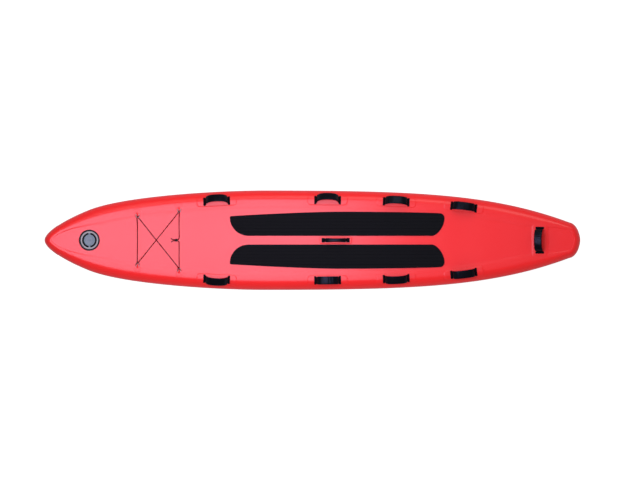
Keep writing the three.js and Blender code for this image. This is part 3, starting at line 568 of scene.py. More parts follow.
def rounded(profile, radius, steps=4):
    """A closed profile with each corner cut back by radius and rounded."""
    result = []
    for i, here in enumerate(profile):
        corner = Vector(here)
        before, after = Vector(profile[i - 1]), Vector(profile[(i + 1) % len(profile)])
        cut_in = min(radius, (before - corner).length / corner_limit)
        cut_out = min(radius, (after - corner).length / corner_limit)
        if corner.x < tiny:
            result.append(tuple(corner))
            continue
        start = corner + (before - corner).normalized() * cut_in
        end = corner + (after - corner).normalized() * cut_out
        for step in range(steps + 1):
            t = step / steps
            point = start * (1 - t) ** 2 + corner * 2 * t * (1 - t) + end * t**2
            result.append(tuple(point))
    return result


def turn_about(axis, angle):
    return Matrix.Rotation(angle, 4, axis)


def stitches(name, rows, place=Matrix.Identity(4)):
    """Short threads along rows from one point to another."""
    points, faces = [], []
    section = round_section(1, stitch_sides)
    for start, end in rows:
        start, end = place @ start, place @ end
        along = (end - start).normalized()
        side = along.orthogonal().normalized()
        other = along.cross(side)
        count = max(1, round((end - start).length / stitch_pitch))
        for step in range(count):
            middle = start.lerp(end, (step + 0.5) / count)
            first = len(points)
            points.append(middle - along * stitch_length / 2)
            for shift in (-stitch_shoulder_share, stitch_shoulder_share):
                for u, v in section:
                    reach = (side * u + other * v) * stitch_width / 2
                    points.append(middle + along * stitch_length * shift + reach)
            points.append(middle + along * stitch_length / 2)
            low, high = first + 1, first + 1 + stitch_sides
            for j in range(stitch_sides):
                k = (j + 1) % stitch_sides
                faces.append([first, low + k, low + j])
                faces.append([low + j, low + k, high + k, high + j])
                faces.append([high + j, high + k, high + stitch_sides])
    return build(name, points, faces)


def block(name, size, place, bevel, segments=3):
    """A box of a size, centred at place, with rounded edges."""
    body = bmesh.new()
    bmesh.ops.create_cube(body, size=1.0, matrix=place @ Matrix.Diagonal((*size, 1.0)))
    bmesh.ops.bevel(body, geom=body.edges[:], offset=bevel, segments=segments, profile=0.6,
                    affect="EDGES")
    return piece_from(name, body)


def cut(piece, *cutters):
    """Takes the cutters' bodies out of a piece and deletes them."""
    for cutter in cutters:
        boolean = piece.modifiers.new("cut", "BOOLEAN")
        boolean.operation = "DIFFERENCE"
        boolean.solver = "EXACT"
        boolean.object = cutter
    settle(piece)
    for cutter in cutters:
        bpy.data.objects.remove(cutter)


def settle(piece):
    """Applies a piece's modifiers to its mesh."""
    bpy.context.view_layer.update()
    shaped = piece.evaluated_get(bpy.context.evaluated_depsgraph_get())
    mesh = bpy.data.meshes.new_from_object(shaped)
    piece.modifiers.clear()
    piece.data = mesh
    soften(mesh)


def join(name, *pieces):
    """One piece from several, before it gets its material."""
    body = bmesh.new()
    for piece in pieces:
        body.from_mesh(piece.data)
        bpy.data.objects.remove(piece)
    return piece_from(name, body)


def finish_piece(piece, body, finish, slot, *nodes):
    """Gives a piece its finish, lets it ride and hides the nodes that it replaces; its slot is not used.
    """
    piece.data.materials.clear()
    piece.data.materials.append(finishes[finish])
    if body is not None:
        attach(piece, body)
    if nodes:
        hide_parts(*nodes)
    return piece


# Hull formulas

def smooth(share):
    share = min(1.0, max(0.0, share))
    return share * share * (3 - 2 * share)


def grow(x, at_tip, amidships):
    return at_tip + (amidships - at_tip) * smooth((half_length - abs(x)) / tip_taper)


def rocker(x):
    forward = max(0.0, -x - nose_rocker_start) / (half_length - nose_rocker_start)
    aft = max(0.0, x - tail_rocker_start) / (half_length - tail_rocker_start)
    return nose_rocker * forward**2 + tail_rocker * aft**2


def slope(x):
    return (facet_lift(x + slope_step) - facet_lift(x - slope_step)) / (2 * slope_step)


def bezier(first, share):
    """A point of the outline's curve and its tangent."""
    a, b, c, d = [Vector((along * half_length, out * half_width))
                  for along, out in outline_shares[first:first + 4]]
    t, s = share, 1 - share
    point = a * s**3 + b * 3 * s**2 * t + c * 3 * s * t**2 + d * t**3
    tangent = (b - a) * s**2 + (c - b) * 2 * s * t + (d - c) * t**2
    return point, tangent.normalized()


def stations(steps):
    """Stations round half the outline: the edge, the way out, and the rim of the rail's curve."""
    result = []
    for index, count in enumerate(steps):
        last = 1 if index == len(steps) - 1 else 0
        for step in range(count + last):
            edge, tangent = bezier(index * 3, step / count)
            out = Vector((-tangent.y, tangent.x))
            bulge = grow(edge.x, tip_bulge, rail_bulge)
            result.append(dict(edge=edge, out=out, bulge=bulge, rim=edge - out * bulge,
                               lap=grow(edge.x, tip_lap, band_lap)))
    return result


facet_knots = [-half_length, *[s["rim"].x for s in stations(facet_steps)], half_length]
facet_knots.sort()
edge_samples = [bezier(first, step / edge_steps)[0] for first in (0, 3, 6, 9)
                for step in range(edge_steps + 1)]


def facet_lift(x):
    """How far the frame's faceted hull is lifted at x, straight between its stations."""
    index = bisect.bisect_left(facet_knots, x)
    if not 0 < index < len(facet_knots):
        return rocker(x)
    before, after = facet_knots[index - 1:index + 1]
    share = (x - before) / max(after - before, tiny)
    return rocker(before) * (1 - share) + rocker(after) * share


def lift(x):
    """The same lift with its corners eased, which never falls below it."""
    steps = range(-ease_steps, ease_steps + 1)
    return sum(facet_lift(x + ease_reach * step / ease_steps) for step in steps) / len(steps)


def edge_at(x):
    """Half the hull's width at x and the slope of its edge there."""
    for before, after in zip(edge_samples, edge_samples[1:]):
        if before.x <= x < after.x:
            share = (x - before.x) / (after.x - before.x)
            return (before.y + (after.y - before.y) * share,
                    (after.y - before.y) / (after.x - before.x))
    return 0.0, 0.0


def band_top(x, y):
    """Height of the smooth hull, with its rail band, over a point of the plan."""
    reach, run = edge_at(x)
    inboard = (reach - abs(y)) / math.hypot(1, run)
    bulge = grow(x, tip_bulge, rail_bulge)
    share = min(1.0, max(0.0, (bulge - inboard) / bulge))
    return mid_height + lift(x) + mid_height * math.sqrt(1 - share**2)


def deck_top(x):
    return mid_height + lift(x) + skin_out


def deck_seat(x, reach):
    """Height and pitch of a flat piece that touches the frame's deck fore and aft of x."""
    fore, aft = deck_top(x - reach), deck_top(x + reach)
    return (fore + aft) / 2, -math.atan((aft - fore) / (2 * reach))


def rail_point(station, turn, inboard, offset, side):
    """A point of the rail's section: turn runs from 0 on the deck to 1 on the belly."""
    angle = turn * math.pi
    reach = (station["bulge"] + offset) * math.sin(angle) - inboard
    across = station["rim"] + station["out"] * reach
    height = (mid_height + offset) * math.cos(angle)
    away = max(across.y, seam_gap / 2)
    return Vector((across.x, side * away, mid_height + lift(across.x) + height))


# Material effects, each a node group placed with its own values

yarn_slant = 0.5
gloss_change = 0.6


def new_group(name, inputs, outputs):
    tree = bpy.data.node_groups.new(name, "ShaderNodeTree")
    for label, kind, value in inputs:
        socket = tree.interface.new_socket(label, in_out="INPUT", socket_type=kind)
        if value is not None:
            socket.default_value = value
    for label, kind in outputs:
        tree.interface.new_socket(label, in_out="OUTPUT", socket_type=kind)
    return tree, tree.nodes.new("NodeGroupInput"), tree.nodes.new("NodeGroupOutput")


def feed(tree, socket, value):
    """Gives an input its value, from another node's output or as it stands."""
    if isinstance(value, bpy.types.NodeSocket):
        tree.links.new(value, socket)
    else:
        socket.default_value = value


def math_node(tree, operation, *values):
    node = tree.nodes.new("ShaderNodeMath")
    node.operation = operation
    for index, value in enumerate(values):
        feed(tree, node.inputs[index], value)
    return node.outputs[0]


def range_node(tree, value, low, high, to_low, to_high):
    node = tree.nodes.new("ShaderNodeMapRange")
    node.interpolation_type = "SMOOTHSTEP"
    labels = ("Value", "From Min", "From Max", "To Min", "To Max")
    for label, given in zip(labels, (value, low, high, to_low, to_high)):
        feed(tree, node.inputs[label], given)
    return node.outputs["Result"]


def noise_node(tree, place, scale, detail=3.0, roughness=0.55):
    node = tree.nodes.new("ShaderNodeTexNoise")
    for label, given in (("Detail", detail), ("Roughness", roughness), ("Vector", place),
                         ("Scale", scale)):
        feed(tree, node.inputs[label], given)
    return node.outputs["Fac"]


def make_pebble_group():
    """The faint pebbling of a coated fabric over its base weave."""
    tree, given, result = new_group(
        "coated pebble",
        [("Place", "NodeSocketVector", None), ("Pebbles", "NodeSocketFloat", 900.0),
         ("Unevenness", "NodeSocketFloat", 0.5)],
        [("Height", "NodeSocketFloat")],
    )
    cells = tree.nodes.new("ShaderNodeTexVoronoi")
    cells.feature = "SMOOTH_F1"
    tree.links.new(given.outputs["Place"], cells.inputs["Vector"])
    tree.links.new(given.outputs["Pebbles"], cells.inputs["Scale"])
    broad = noise_node(tree, given.outputs["Place"], scale=14.0, detail=2.0)
    broad = math_node(tree, "MULTIPLY", broad, given.outputs["Unevenness"])
    total = math_node(tree, "ADD", cells.outputs["Distance"], broad)
    tree.links.new(total, result.inputs["Height"])
    return tree


def make_weave_group():
    """Crossing yarns, from a place measured along and across the cloth in metres."""
    tree, given, result = new_group(
        "woven yarns",
        [("Place", "NodeSocketVector", None), ("Along", "NodeSocketFloat", 420.0),
         ("Across", "NodeSocketFloat", 800.0)],
        [("Height", "NodeSocketFloat"), ("Gaps", "NodeSocketFloat")],
    )
    split = tree.nodes.new("ShaderNodeSeparateXYZ")
    tree.links.new(given.outputs["Place"], split.inputs[0])
    along = math_node(tree, "MULTIPLY", split.outputs["X"], given.outputs["Along"])
    across = math_node(tree, "MULTIPLY", split.outputs["Y"], given.outputs["Across"])
    slant = math_node(tree, "ADD", along, math_node(tree, "MULTIPLY", across, yarn_slant))
    waves = []
    for turn in (slant, across):
        wave = math_node(tree, "SINE", math_node(tree, "MULTIPLY", turn, math.pi))
        waves.append(math_node(tree, "ABSOLUTE", wave))
    height = math_node(tree, "MULTIPLY", *waves)
    tree.links.new(height, result.inputs["Height"])
    gaps = range_node(tree, height, low=0.0, high=0.35, to_low=1.0, to_high=0.0)
    tree.links.new(gaps, result.inputs["Gaps"])
    return tree


def make_grain_group():
    """Fine moulded or foamed grain."""
    tree, given, result = new_group(
        "fine grain",
        [("Place", "NodeSocketVector", None), ("Grains", "NodeSocketFloat", 1400.0)],
        [("Height", "NodeSocketFloat"), ("Specks", "NodeSocketFloat")],
    )
    fine = noise_node(tree, given.outputs["Place"], given.outputs["Grains"], detail=4.0, roughness=0.6)
    tree.links.new(fine, result.inputs["Height"])
    specks = range_node(tree, fine, low=0.6, high=0.74, to_low=0.0, to_high=1.0)
    tree.links.new(specks, result.inputs["Specks"])
    return tree


def make_tone_group():
    """Slow changes of a colour and of its gloss, with a few scuffed places."""
    tree, given, result = new_group(
        "uneven tone",
        [("Place", "NodeSocketVector", None), ("Colour", "NodeSocketColor", (0.5, 0.5, 0.5, 1)),
         ("Patches", "NodeSocketFloat", 5.0), ("Depth", "NodeSocketFloat", 0.08),
         ("Roughness", "NodeSocketFloat", 0.5), ("Scuffs", "NodeSocketFloat", 0.05)],
        [("Colour", "NodeSocketColor"), ("Roughness", "NodeSocketFloat")],
    )
    slow = noise_node(tree, given.outputs["Place"], given.outputs["Patches"], detail=4.0)
    centred = math_node(tree, "SUBTRACT", slow, 0.5)
    change = math_node(tree, "MULTIPLY", centred, given.outputs["Depth"])
    factor = math_node(tree, "ADD", change, 1.0)
    scale = tree.nodes.new("ShaderNodeVectorMath")
    scale.operation = "SCALE"
    tree.links.new(given.outputs["Colour"], scale.inputs[0])
    tree.links.new(factor, scale.inputs["Scale"])
    tree.links.new(scale.outputs[0], result.inputs["Colour"])
    scuffed = noise_node(tree, given.outputs["Place"], scale=38.0, detail=6.0, roughness=0.7)
    scuffed = range_node(tree, scuffed, low=0.58, high=0.72, to_low=0.0, to_high=1.0)
    rough = math_node(tree, "ADD", given.outputs["Roughness"],
                      math_node(tree, "MULTIPLY", scuffed, given.outputs["Scuffs"]))
    rough = math_node(tree, "ADD", rough, math_node(tree, "MULTIPLY", change, gloss_change))
    tree.links.new(rough, result.inputs["Roughness"])
    return tree


pebble_group = make_pebble_group()
weave_group = make_weave_group()
grain_group = make_grain_group()
tone_group = make_tone_group()


def place_group(tree, group, **values):
    node = tree.nodes.new("ShaderNodeGroup")
    node.node_tree = group
    for label, value in values.items():
        feed(tree, node.inputs[label], value)
    return node


def new_material(name, colour, roughness, specular, relief, depth, run=False, metallic=0.0,
                 patches=5.0, tone=0.08, scuffs=0.05, tint=(1, 1, 1), **values):
    """A finish: an uneven tone over a colour, and a relief group under a Bump node."""
    material = bpy.data.materials.new(name)
    material.use_nodes = True
    tree = material.node_tree
    shader = tree.nodes["Principled BSDF"]
    place = tree.nodes.new("ShaderNodeTexCoord")
    where = place.outputs["UV"] if run else place.outputs["Object"]
    shade = place_group(tree, tone_group, Place=place.outputs["Object"], Colour=(*colour, 1.0),
                        Patches=patches, Depth=tone, Roughness=roughness, Scuffs=scuffs)
    tree.links.new(shade.outputs["Colour"], shader.inputs["Base Color"])
    tree.links.new(shade.outputs["Roughness"], shader.inputs["Roughness"])
    shader.inputs["Metallic"].default_value = metallic
    shader.inputs["Specular IOR Level"].default_value = specular
    shader.inputs["Specular Tint"].default_value = (*tint, 1.0)
    raised = place_group(tree, relief, Place=where, **values)
    bump = tree.nodes.new("ShaderNodeBump")
    bump.inputs["Distance"].default_value = depth
    tree.links.new(raised.outputs["Height"], bump.inputs["Height"])
    tree.links.new(bump.outputs["Normal"], shader.inputs["Normal"])
    return material


def make_materials():
    coated = dict(specular=0.5, relief=pebble_group, depth=0.00006, Pebbles=900.0)
    grained = dict(relief=grain_group)
    woven = dict(relief=weave_group, run=True, tone=0.2)
    blue = (0.5, 0.68, 1.0)
    return dict(
        deck=new_material("deck red", (0.87, 0.013, 0.016), 0.3, patches=1.4, tone=0.06, **coated),
        rail=new_material("rail red", (0.86, 0.012, 0.014), 0.31, patches=1.4, tone=0.06, **coated),
        patch=new_material("patch red", (0.86, 0.013, 0.016), 0.32, **coated),
        foam=new_material("foam black", (0.004, 0.0048, 0.007), 0.75, specular=0.12, depth=0.00025,
                          Grains=1600.0, tone=0.25, patches=9.0, **grained),
        webbing=new_material("webbing black", (0.004, 0.004, 0.006), 0.75, specular=0.06,
                             depth=0.0004, Along=380.0, Across=420.0, tint=blue, **woven),
        grip=new_material("grip black", (0.0032, 0.0032, 0.005), 0.33, specular=0.2, depth=0.00012,
                          Grains=1100.0, tone=0.3, patches=20.0, tint=blue, **grained),
        thread=new_material("thread", (0.008, 0.008, 0.01), 0.6, specular=0.1, depth=0.0001,
                            Grains=3000.0, **grained),
        black=new_material("moulded black", (0.005, 0.005, 0.006), 0.45, specular=0.15,
                           depth=0.00008, Grains=1500.0, tone=0.15, patches=30.0, **grained),
        grey=new_material("moulded grey", (0.24, 0.255, 0.27), 0.36, specular=0.5, depth=0.00006,
                          Grains=1500.0, patches=30.0, **grained),
        cap=new_material("cap blue grey", (0.11, 0.17, 0.22), 0.35, specular=0.45, depth=0.00006,
                         Grains=1500.0, tone=0.3, patches=40.0, **grained),
        steel=new_material("steel", (0.5, 0.5, 0.52), 0.3, specular=0.5, depth=0.00002, Grains=900.0,
                           metallic=1.0, tone=0.1, patches=60.0, scuffs=0.15, **grained),
        cord=new_material("cord", (0.095, 0.002, 0.003), 0.8, specular=0.03, depth=0.0003,
                          Along=420.0, Across=640.0, **woven),
        core=new_material("core white", (0.78, 0.78, 0.75), 0.8, specular=0.2, depth=0.0001,
                          Grains=900.0, **grained),
    )


finishes = make_materials()


# Camera, light and floor

def make_camera():
    data = bpy.data.cameras.new("camera")
    data.sensor_width = sensor_width * 1000
    data.lens = lens_length * 1000
    data.clip_start, data.clip_end = clip_range
    camera = link("camera", data)
    distance = photo_width * metres_per_pixel * lens_length / sensor_width
    camera.location = (
        (photo_middle_pixel[0] - board_middle_pixel[0]) * metres_per_pixel,
        (board_middle_pixel[1] - photo_middle_pixel[1]) * metres_per_pixel,
        deck_level + distance,
    )
    bpy.context.scene.camera = camera


def make_area_light(name, place, aim, size, power, colour=(1, 1, 1)):
    data = bpy.data.lights.new(name, "AREA")
    data.shape = "RECTANGLE"
    data.size, data.size_y = size
    data.energy = power
    data.color = colour
    light = link(name, data)
    light.location = place
    light.rotation_euler = (Vector(aim) - Vector(place)).to_track_quat("-Z", "Y").to_euler()


def seen_rays(tree, glossy_level):
    """1 for the rays that see the surround, and a level of its own for glossy ones."""
    path = tree.nodes.new("ShaderNodeLightPath")
    seen = math_node(tree, "MAXIMUM", path.outputs["Is Camera Ray"], path.outputs["Is Transmission Ray"])
    glossy = math_node(tree, "MULTIPLY", path.outputs["Is Glossy Ray"], glossy_level)
    lit = math_node(tree, "MAXIMUM", seen, path.outputs["Is Glossy Ray"])
    return math_node(tree, "MAXIMUM", seen, glossy), math_node(tree, "SUBTRACT", 1.0, lit)


def make_world(horizon, zenith, edge, ceiling):
    """A surround with a level at the horizon and one overhead, and white where it is seen.

    Glossy surfaces see it with levels of their own, at its edge and overhead.
    """
    world = bpy.data.worlds.new("surround")
    bpy.context.scene.world = world
    world.use_nodes = True
    tree = world.node_tree
    shader = tree.nodes["Background"]
    shader.inputs["Color"].default_value = (1, 1, 1, 1)
    where = tree.nodes.new("ShaderNodeTexCoord")
    split = tree.nodes.new("ShaderNodeSeparateXYZ")
    tree.links.new(where.outputs["Generated"], split.inputs[0])
    level = range_node(tree, split.outputs["Z"], *sky_rise, horizon, zenith)
    mirrored = range_node(tree, split.outputs["Z"], *mirror_rise, edge, ceiling)
    shown, unseen = seen_rays(tree, mirrored)
    hidden = math_node(tree, "MULTIPLY", unseen, level)
    tree.links.new(math_node(tree, "ADD", shown, hidden), shader.inputs["Strength"])


def make_floor(extent, colour, glow):
    """A pale floor that takes shadow, shows white where it is seen and is clear from below."""
    material = bpy.data.materials.new("floor")
    material.use_nodes = True
    tree = material.node_tree
    tree.nodes.remove(tree.nodes["Principled BSDF"])
    diffuse = tree.nodes.new("ShaderNodeBsdfDiffuse")
    diffuse.inputs["Color"].default_value = (*colour, 1)
    emission = tree.nodes.new("ShaderNodeEmission")
    shown, unseen = seen_rays(tree, floor_sheen / glow)
    tree.links.new(math_node(tree, "MULTIPLY", shown, glow), emission.inputs["Strength"])
    lit = tree.nodes.new("ShaderNodeAddShader")
    tree.links.new(diffuse.outputs[0], lit.inputs[0])
    tree.links.new(emission.outputs[0], lit.inputs[1])
    clear = tree.nodes.new("ShaderNodeBsdfTransparent")
    facing = tree.nodes.new("ShaderNodeNewGeometry")
    path = tree.nodes.new("ShaderNodeLightPath")
    under = math_node(tree, "MULTIPLY", facing.outputs["Backfacing"], path.outputs["Is Camera Ray"])
    mix = tree.nodes.new("ShaderNodeMixShader")
    tree.links.new(under, mix.inputs[0])
    tree.links.new(lit.outputs[0], mix.inputs[1])
    tree.links.new(clear.outputs[0], mix.inputs[2])
    tree.links.new(mix.outputs[0], tree.nodes["Material Output"].inputs["Surface"])
    corners = [(-extent, -extent), (extent, -extent), (extent, extent), (-extent, extent)]
    mesh = bpy.data.meshes.new("floor")
    mesh.from_pydata([(x, y, floor_level) for x, y in corners], [], [(0, 1, 2, 3)])
    mesh.materials.append(material)
    link("floor", mesh)


# Bow bungee

def make_bungee():
    points = []
    for along, across, height in cord_route:
        x = along - rear_anchor_forward
        points.append(Vector((x, across, deck_top(x) + height)))
    path = spaced(curve_through(points, steps=8), count=620)
    cord = tube("bungee", path, cord_radius)
    finish_piece(cord, "hull", "cord", "cord", "bungee_cord")
    for word, ends in (("upper", path[:2]), ("lower", path[-1:-3:-1])):
        tip, inner = ends
        out = (tip - inner).normalized()
        place = Matrix.Translation(tip) @ out.to_track_quat("Z", "Y").to_matrix().to_4x4()
        profile = rounded([(0, cord_end_out), (cord_end_radius, cord_end_out),
                           (cord_end_radius, -cord_end_grip), (0, -cord_end_grip)], cord_end_round)
        end = turned(f"bungee_end_{word}", profile, place, segments=20)
        finish_piece(end, "hull", "black", "cord")


def ring_path(width, reach, wire):
    half = width / 2
    bar = half * ring_bar_share
    bow = [Vector((across * half, -down * reach, 0)) for across, down in ring_bow_shares]
    points = [Vector((-bar, 0, 0)), Vector((bar, 0, 0)), Vector((half, -wire, 0)), *bow,
              Vector((-half, -wire, 0))]
    return curve_through(points, steps=7, closed=True)


def make_anchor(word, place, tilt, sizes, nodes, body):
    """A round patch, the webbing loop sewn on it, and the wire ring that the loop holds."""
    patch_node, ring_node = nodes
    radius, wire, bar_height = sizes["patch_radius"], sizes["wire"], sizes["bar_height"]
    centre = place @ Matrix.Translation((0, sizes["patch_offset"], 0))
    thick = anchor_thickness
    profile = rounded([(0, thick), (radius, thick), (radius, -anchor_sink), (0, -anchor_sink)],
                      anchor_round)
    patch = turned(f"{word}_patch", profile, centre, segments=72)
    finish_piece(patch, "hull", "patch", "patch_fabric", patch_node)
    bore = wire + loop_slack + loop_wall / 2
    turns = [math.pi * (0.5 - step / loop_turns) for step in range(loop_turns + 1)]
    bend = [Vector((0, -bore * math.cos(turn), bar_height + bore * math.sin(turn))) for turn in turns]
    top, low = [thick + loop_wall * share for share in loop_layer_shares]
    sewn_from = loop_tail * loop_sewn_share
    start = [Vector((0, loop_tail, top)), Vector((0, sewn_from, top)),
             Vector((0, bore * loop_neck_shares[0], (top + bar_height + bore) / 2))]
    end = [Vector((0, bore * loop_neck_shares[1], low)), Vector((0, sewn_from, low)),
           Vector((0, loop_tail, low))]
    path = spaced(curve_through(start + bend + end, steps=4), count=60)
    rings = []
    section = pillow_section(loop_width / 2, loop_wall / 2, sides=16, square=6)
    for i, point in enumerate(path):
        along = (path[min(i + 1, len(path) - 1)] - path[max(i - 1, 0)]).normalized()
        out = Vector((1, 0, 0)).cross(along)
        rings.append([place @ (point + Vector((u, 0, 0)) + out * v) for u, v in section])
    strap = stack(f"{word}_loop", rings)
    finish_piece(strap, "hull", "patch", "patch_fabric")
    for side in (-1, 1):
        across = side * loop_width * loop_stitch_side_share
        rows = [tuple(Vector((across, loop_tail * share, top + loop_stitch_lift))
                      for share in loop_stitch_shares)]
        sewn = stitches(f"{word}_stitching_{'a' if side < 0 else 'b'}", rows, place)
        finish_piece(sewn, "hull", "thread", "webbing")
    set_ring = place @ Matrix.Translation((0, 0, bar_height)) @ turn_about("X", tilt)
    wire_path = [set_ring @ point for point in ring_path(sizes["width"], sizes["reach"], wire)]
    ring = tube(f"{word}_ring", wire_path, wire, sides=14, closed=True)
    finish_piece(ring, body, "steel", "steel", ring_node)


def make_bungee_anchors():
    for side, word in ((-1, "left"), (1, "right")):
        for end, forward, out in (("front", front_anchor_forward, front_anchor_out),
                                  ("rear", rear_anchor_forward, rear_anchor_out)):
            height, pitch = deck_seat(-forward, bow_sizes["patch_radius"])
            place = Matrix.Translation((-forward, side * out, height + anchor_seat))
            place = place @ turn_about("Y", pitch)
            if side < 0:
                place = place @ turn_about("Z", math.pi)
            make_anchor(f"{end}_anchor_{word}", place, -math.radians(ring_tilt), bow_sizes,
                        (f"anchor_patch_{end}_{word}", f"anchor_ring_{end}_{word}"), "hull")


def make_cord_lock():
    pitch = -math.atan(slope(-lock_forward))
    place = Matrix.Translation((-lock_forward, 0, deck_top(-lock_forward) + lock_height))
    place = place @ turn_about("Y", pitch)
    half = lock_length / 2
    end_radius = lock_radius * lock_end_share
    profile = [(0, half), (end_radius, half), (lock_radius, half - lock_chamfer)]
    for ridge in range(lock_ridge_count):
        at = half * 0.5 - ridge * half * lock_ridge_share
        profile += [(lock_radius, at + lock_ridge_run), (lock_radius - lock_ridge, at),
                    (lock_radius, at - lock_ridge_run)]
    profile += [(lock_radius, -half + lock_chamfer), (end_radius, -half), (0, -half)]
    barrel = turned("cord_lock_barrel", profile, place, segments=40)
    slot = block("slot", (lock_radius * lock_slot_share, lock_slot_width, lock_slot_height), place,
                 lock_slot_round)
    bore, mouth, floor = button_radius + button_gap, half + well_overrun, half - button_well
    well = turned("well", [(0, mouth), (bore, mouth), (bore, floor), (0, floor)], place, segments=40)
    cut(barrel, slot, well)
    finish_piece(barrel, "cord_lock", "black", "black_plastic", "cord_lock_body")
    top, foot = half + button_reach, half - button_foot
    button_profile = rounded([(0, top), (button_radius, top), (button_radius, foot), (0, foot)],
                             button_round)
    button = turned("cord_lock_push", button_profile, place, segments=40)
    finish_piece(button, "cord_lock_button", "black", "black_plastic", "cord_lock_button")


# Hull pieces

def make_rail_band(side, word, rows):
    turns = [step / rail_turns for step in range(rail_turns + 1)]

    def section(station, offset, taper):
        lap = station["lap"]
        reach = lap_taper * lap / band_lap
        inboards = [(lap + reach * share, offset - taper * smooth(share)) for share in lap_shares]
        inboards.append((lap / 2, offset))
        first = [rail_point(station, 0, inboard, height, side) for inboard, height in inboards]
        last = [rail_point(station, 1, inboard, height, side) for inboard, height in inboards[::-1]]
        return first + [rail_point(station, turn, 0, offset, side) for turn in turns] + last

    top = [section(station, 0, lap_edge) for station in rows]
    under = [section(station, -(band_thickness + lap_gap), 0) for station in rows]
    band = slab(f"rail_{word}", top, under)
    finish_piece(band, "hull", "rail", "rail_fabric", f"rail_band_{word}")


def make_tip_patch(name, node, end, rows):
    near = [s for s in rows if end * s["edge"].x > half_length - tip_patch_reach]
    if end > 0:
        near.reverse()
    turns = [step / rail_turns for step in range(rail_turns + 1)]

    def wrap(offset, edge_offset):
        grid = []
        for side, order in ((1, near[::-1]), (-1, near)):
            for station in order:
                near_edge = offset * tip_patch_edge_share
                offsets = [edge_offset, near_edge] + [offset] * (len(turns) - 4)
                offsets += [near_edge, edge_offset]
                grid.append([rail_point(station, turn, 0, shift, side)
                             for turn, shift in zip(turns, offsets)])
        return grid

    patch = slab(name, wrap(tip_patch_thickness, tip_patch_rim), wrap(tip_patch_gap, tip_patch_gap))
    finish_piece(patch, "hull", "rail", "rail_fabric", node)


def make_skin(name, node, top, under, finish, slot, rows):
    grid_rows = []
    for station in rows:
        edge = station["rim"] - station["out"] * skin_inset
        reach = max(edge.y, tip_lap / 2)
        grid_rows.append([(edge.x, reach * share) for share in framed_shares((), 1, skin_steps)])

    def grid(height):
        return [[Vector((x, y, mid_height + lift(x) + height)) for x, y in row] for row in grid_rows]

    skin = slab(name, grid(top), grid(under))
    return finish_piece(skin, "hull", finish, slot, node)


def make_hull():
    rows = stations(hull_steps)
    deck = make_skin("deck", "deck_skin", skin_out, skin_out - skin_thickness,
                     "deck", "deck_fabric", rows)
    bore = bowl_radius + bowl_wall + hole_clearance
    hole = turned("hole", [(0, hole_reach), (bore, hole_reach), (bore, -hole_reach), (0, -hole_reach)],
                  valve_place())
    cut(deck, hole)
    make_skin("belly", "bottom_skin", -skin_out + skin_thickness, -skin_out,
              "rail", "rail_fabric", rows)
    for side, word in ((-1, "left"), (1, "right")):
        make_rail_band(side, word, rows)
    make_tip_patch("nose_cap", "nose_patch", -1, rows)
    make_tip_patch("tail_cap", "tail_patch", 1, rows)


# Deck pads

def cubic(a, b, c, d, steps):
    """Points of a plane cubic curve, without its last."""
    result = []
    for step in range(steps):
        t = step / steps
        s = 1 - t
        result.append(tuple(s**3 * p + 3 * s**2 * t * q + 3 * s * t**2 * r + t**3 * e
                            for p, q, r, e in zip(a, b, c, d)))
    return result


def pad_outline():
    tail_full, tail_ease, widest = [share * pad_tail for share in pad_tail_shares]
    nose_ease, nose_full = [-share * pad_nose for share in pad_nose_shares]
    inner_nose = (-pad_nose + pad_nose_curve, pad_inner)
    inner_tail = (pad_tail - pad_tail_curve, pad_inner)
    tail_end = (pad_tail, pad_outer_tail - pad_tail_corner)
    tail_corner = (pad_tail - pad_tail_corner, pad_outer_tail)
    nose_corner = (-pad_nose + pad_nose_corner, pad_outer_nose)
    nose_end = (-pad_nose, pad_outer_nose - pad_nose_corner)
    turn = pad_tail_corner * pad_corner_share
    return [
        *cubic(inner_tail, (pad_tail - pad_tail_curve * (1 - pad_end_share), pad_inner),
               (pad_tail, pad_inner + pad_tail_bow), tail_end, steps=20),
        *cubic(tail_end, (pad_tail, pad_outer_tail - turn), (pad_tail - turn, pad_outer_tail),
               tail_corner, steps=7),
        *cubic(tail_corner, (tail_full, pad_tail_shoulder), (tail_ease, pad_outer_widest),
               (widest, pad_outer_widest), steps=36),
        *cubic((widest, pad_outer_widest), (nose_ease, pad_outer_widest),
               (nose_full, pad_nose_shoulder), nose_corner, steps=30),
        *cubic(nose_corner, (-pad_nose + pad_nose_corner / 2, pad_outer_nose),
               (-pad_nose, pad_outer_nose - pad_nose_corner / 2), nose_end, steps=5),
        *cubic(nose_end, (-pad_nose, pad_inner + pad_nose_bow),
               (-pad_nose + pad_nose_curve * pad_end_share, pad_inner), inner_nose, steps=20),
        *[(inner_nose[0] + (inner_tail[0] - inner_nose[0]) * step / pad_inner_steps, pad_inner)
          for step in range(pad_inner_steps)],
    ]


def make_pad(side, word):
    outline = pad_outline()
    body = bmesh.new()
    low = [body.verts.new((x, side * y, 0)) for x, y in outline]
    high = [body.verts.new((x, side * y, pad_thickness)) for x, y in outline]
    body.faces.new(low)
    top = body.faces.new(high)
    for i in range(len(outline)):
        k = (i + 1) % len(outline)
        body.faces.new([low[i], low[k], high[k], high[i]])
    bmesh.ops.recalc_face_normals(body, faces=body.faces)
    bmesh.ops.bevel(body, geom=list(top.edges), offset=pad_bevel, segments=3, profile=0.5,
                    affect="EDGES")
    pad = piece_from(f"pad_{word}", body)
    first = (pad_inner + pad_outer_widest - (groove_count - 1) * groove_pitch) / 2
    cut(pad, *[groove_cutter(side * (first + groove * groove_pitch)) for groove in range(groove_count)])
    for vertex in pad.data.vertices:
        vertex.co.z += deck_top(vertex.co.x) + pad_lift
    finish_piece(pad, "hull", "foam", "pad_foam", f"deck_pad_{word}")


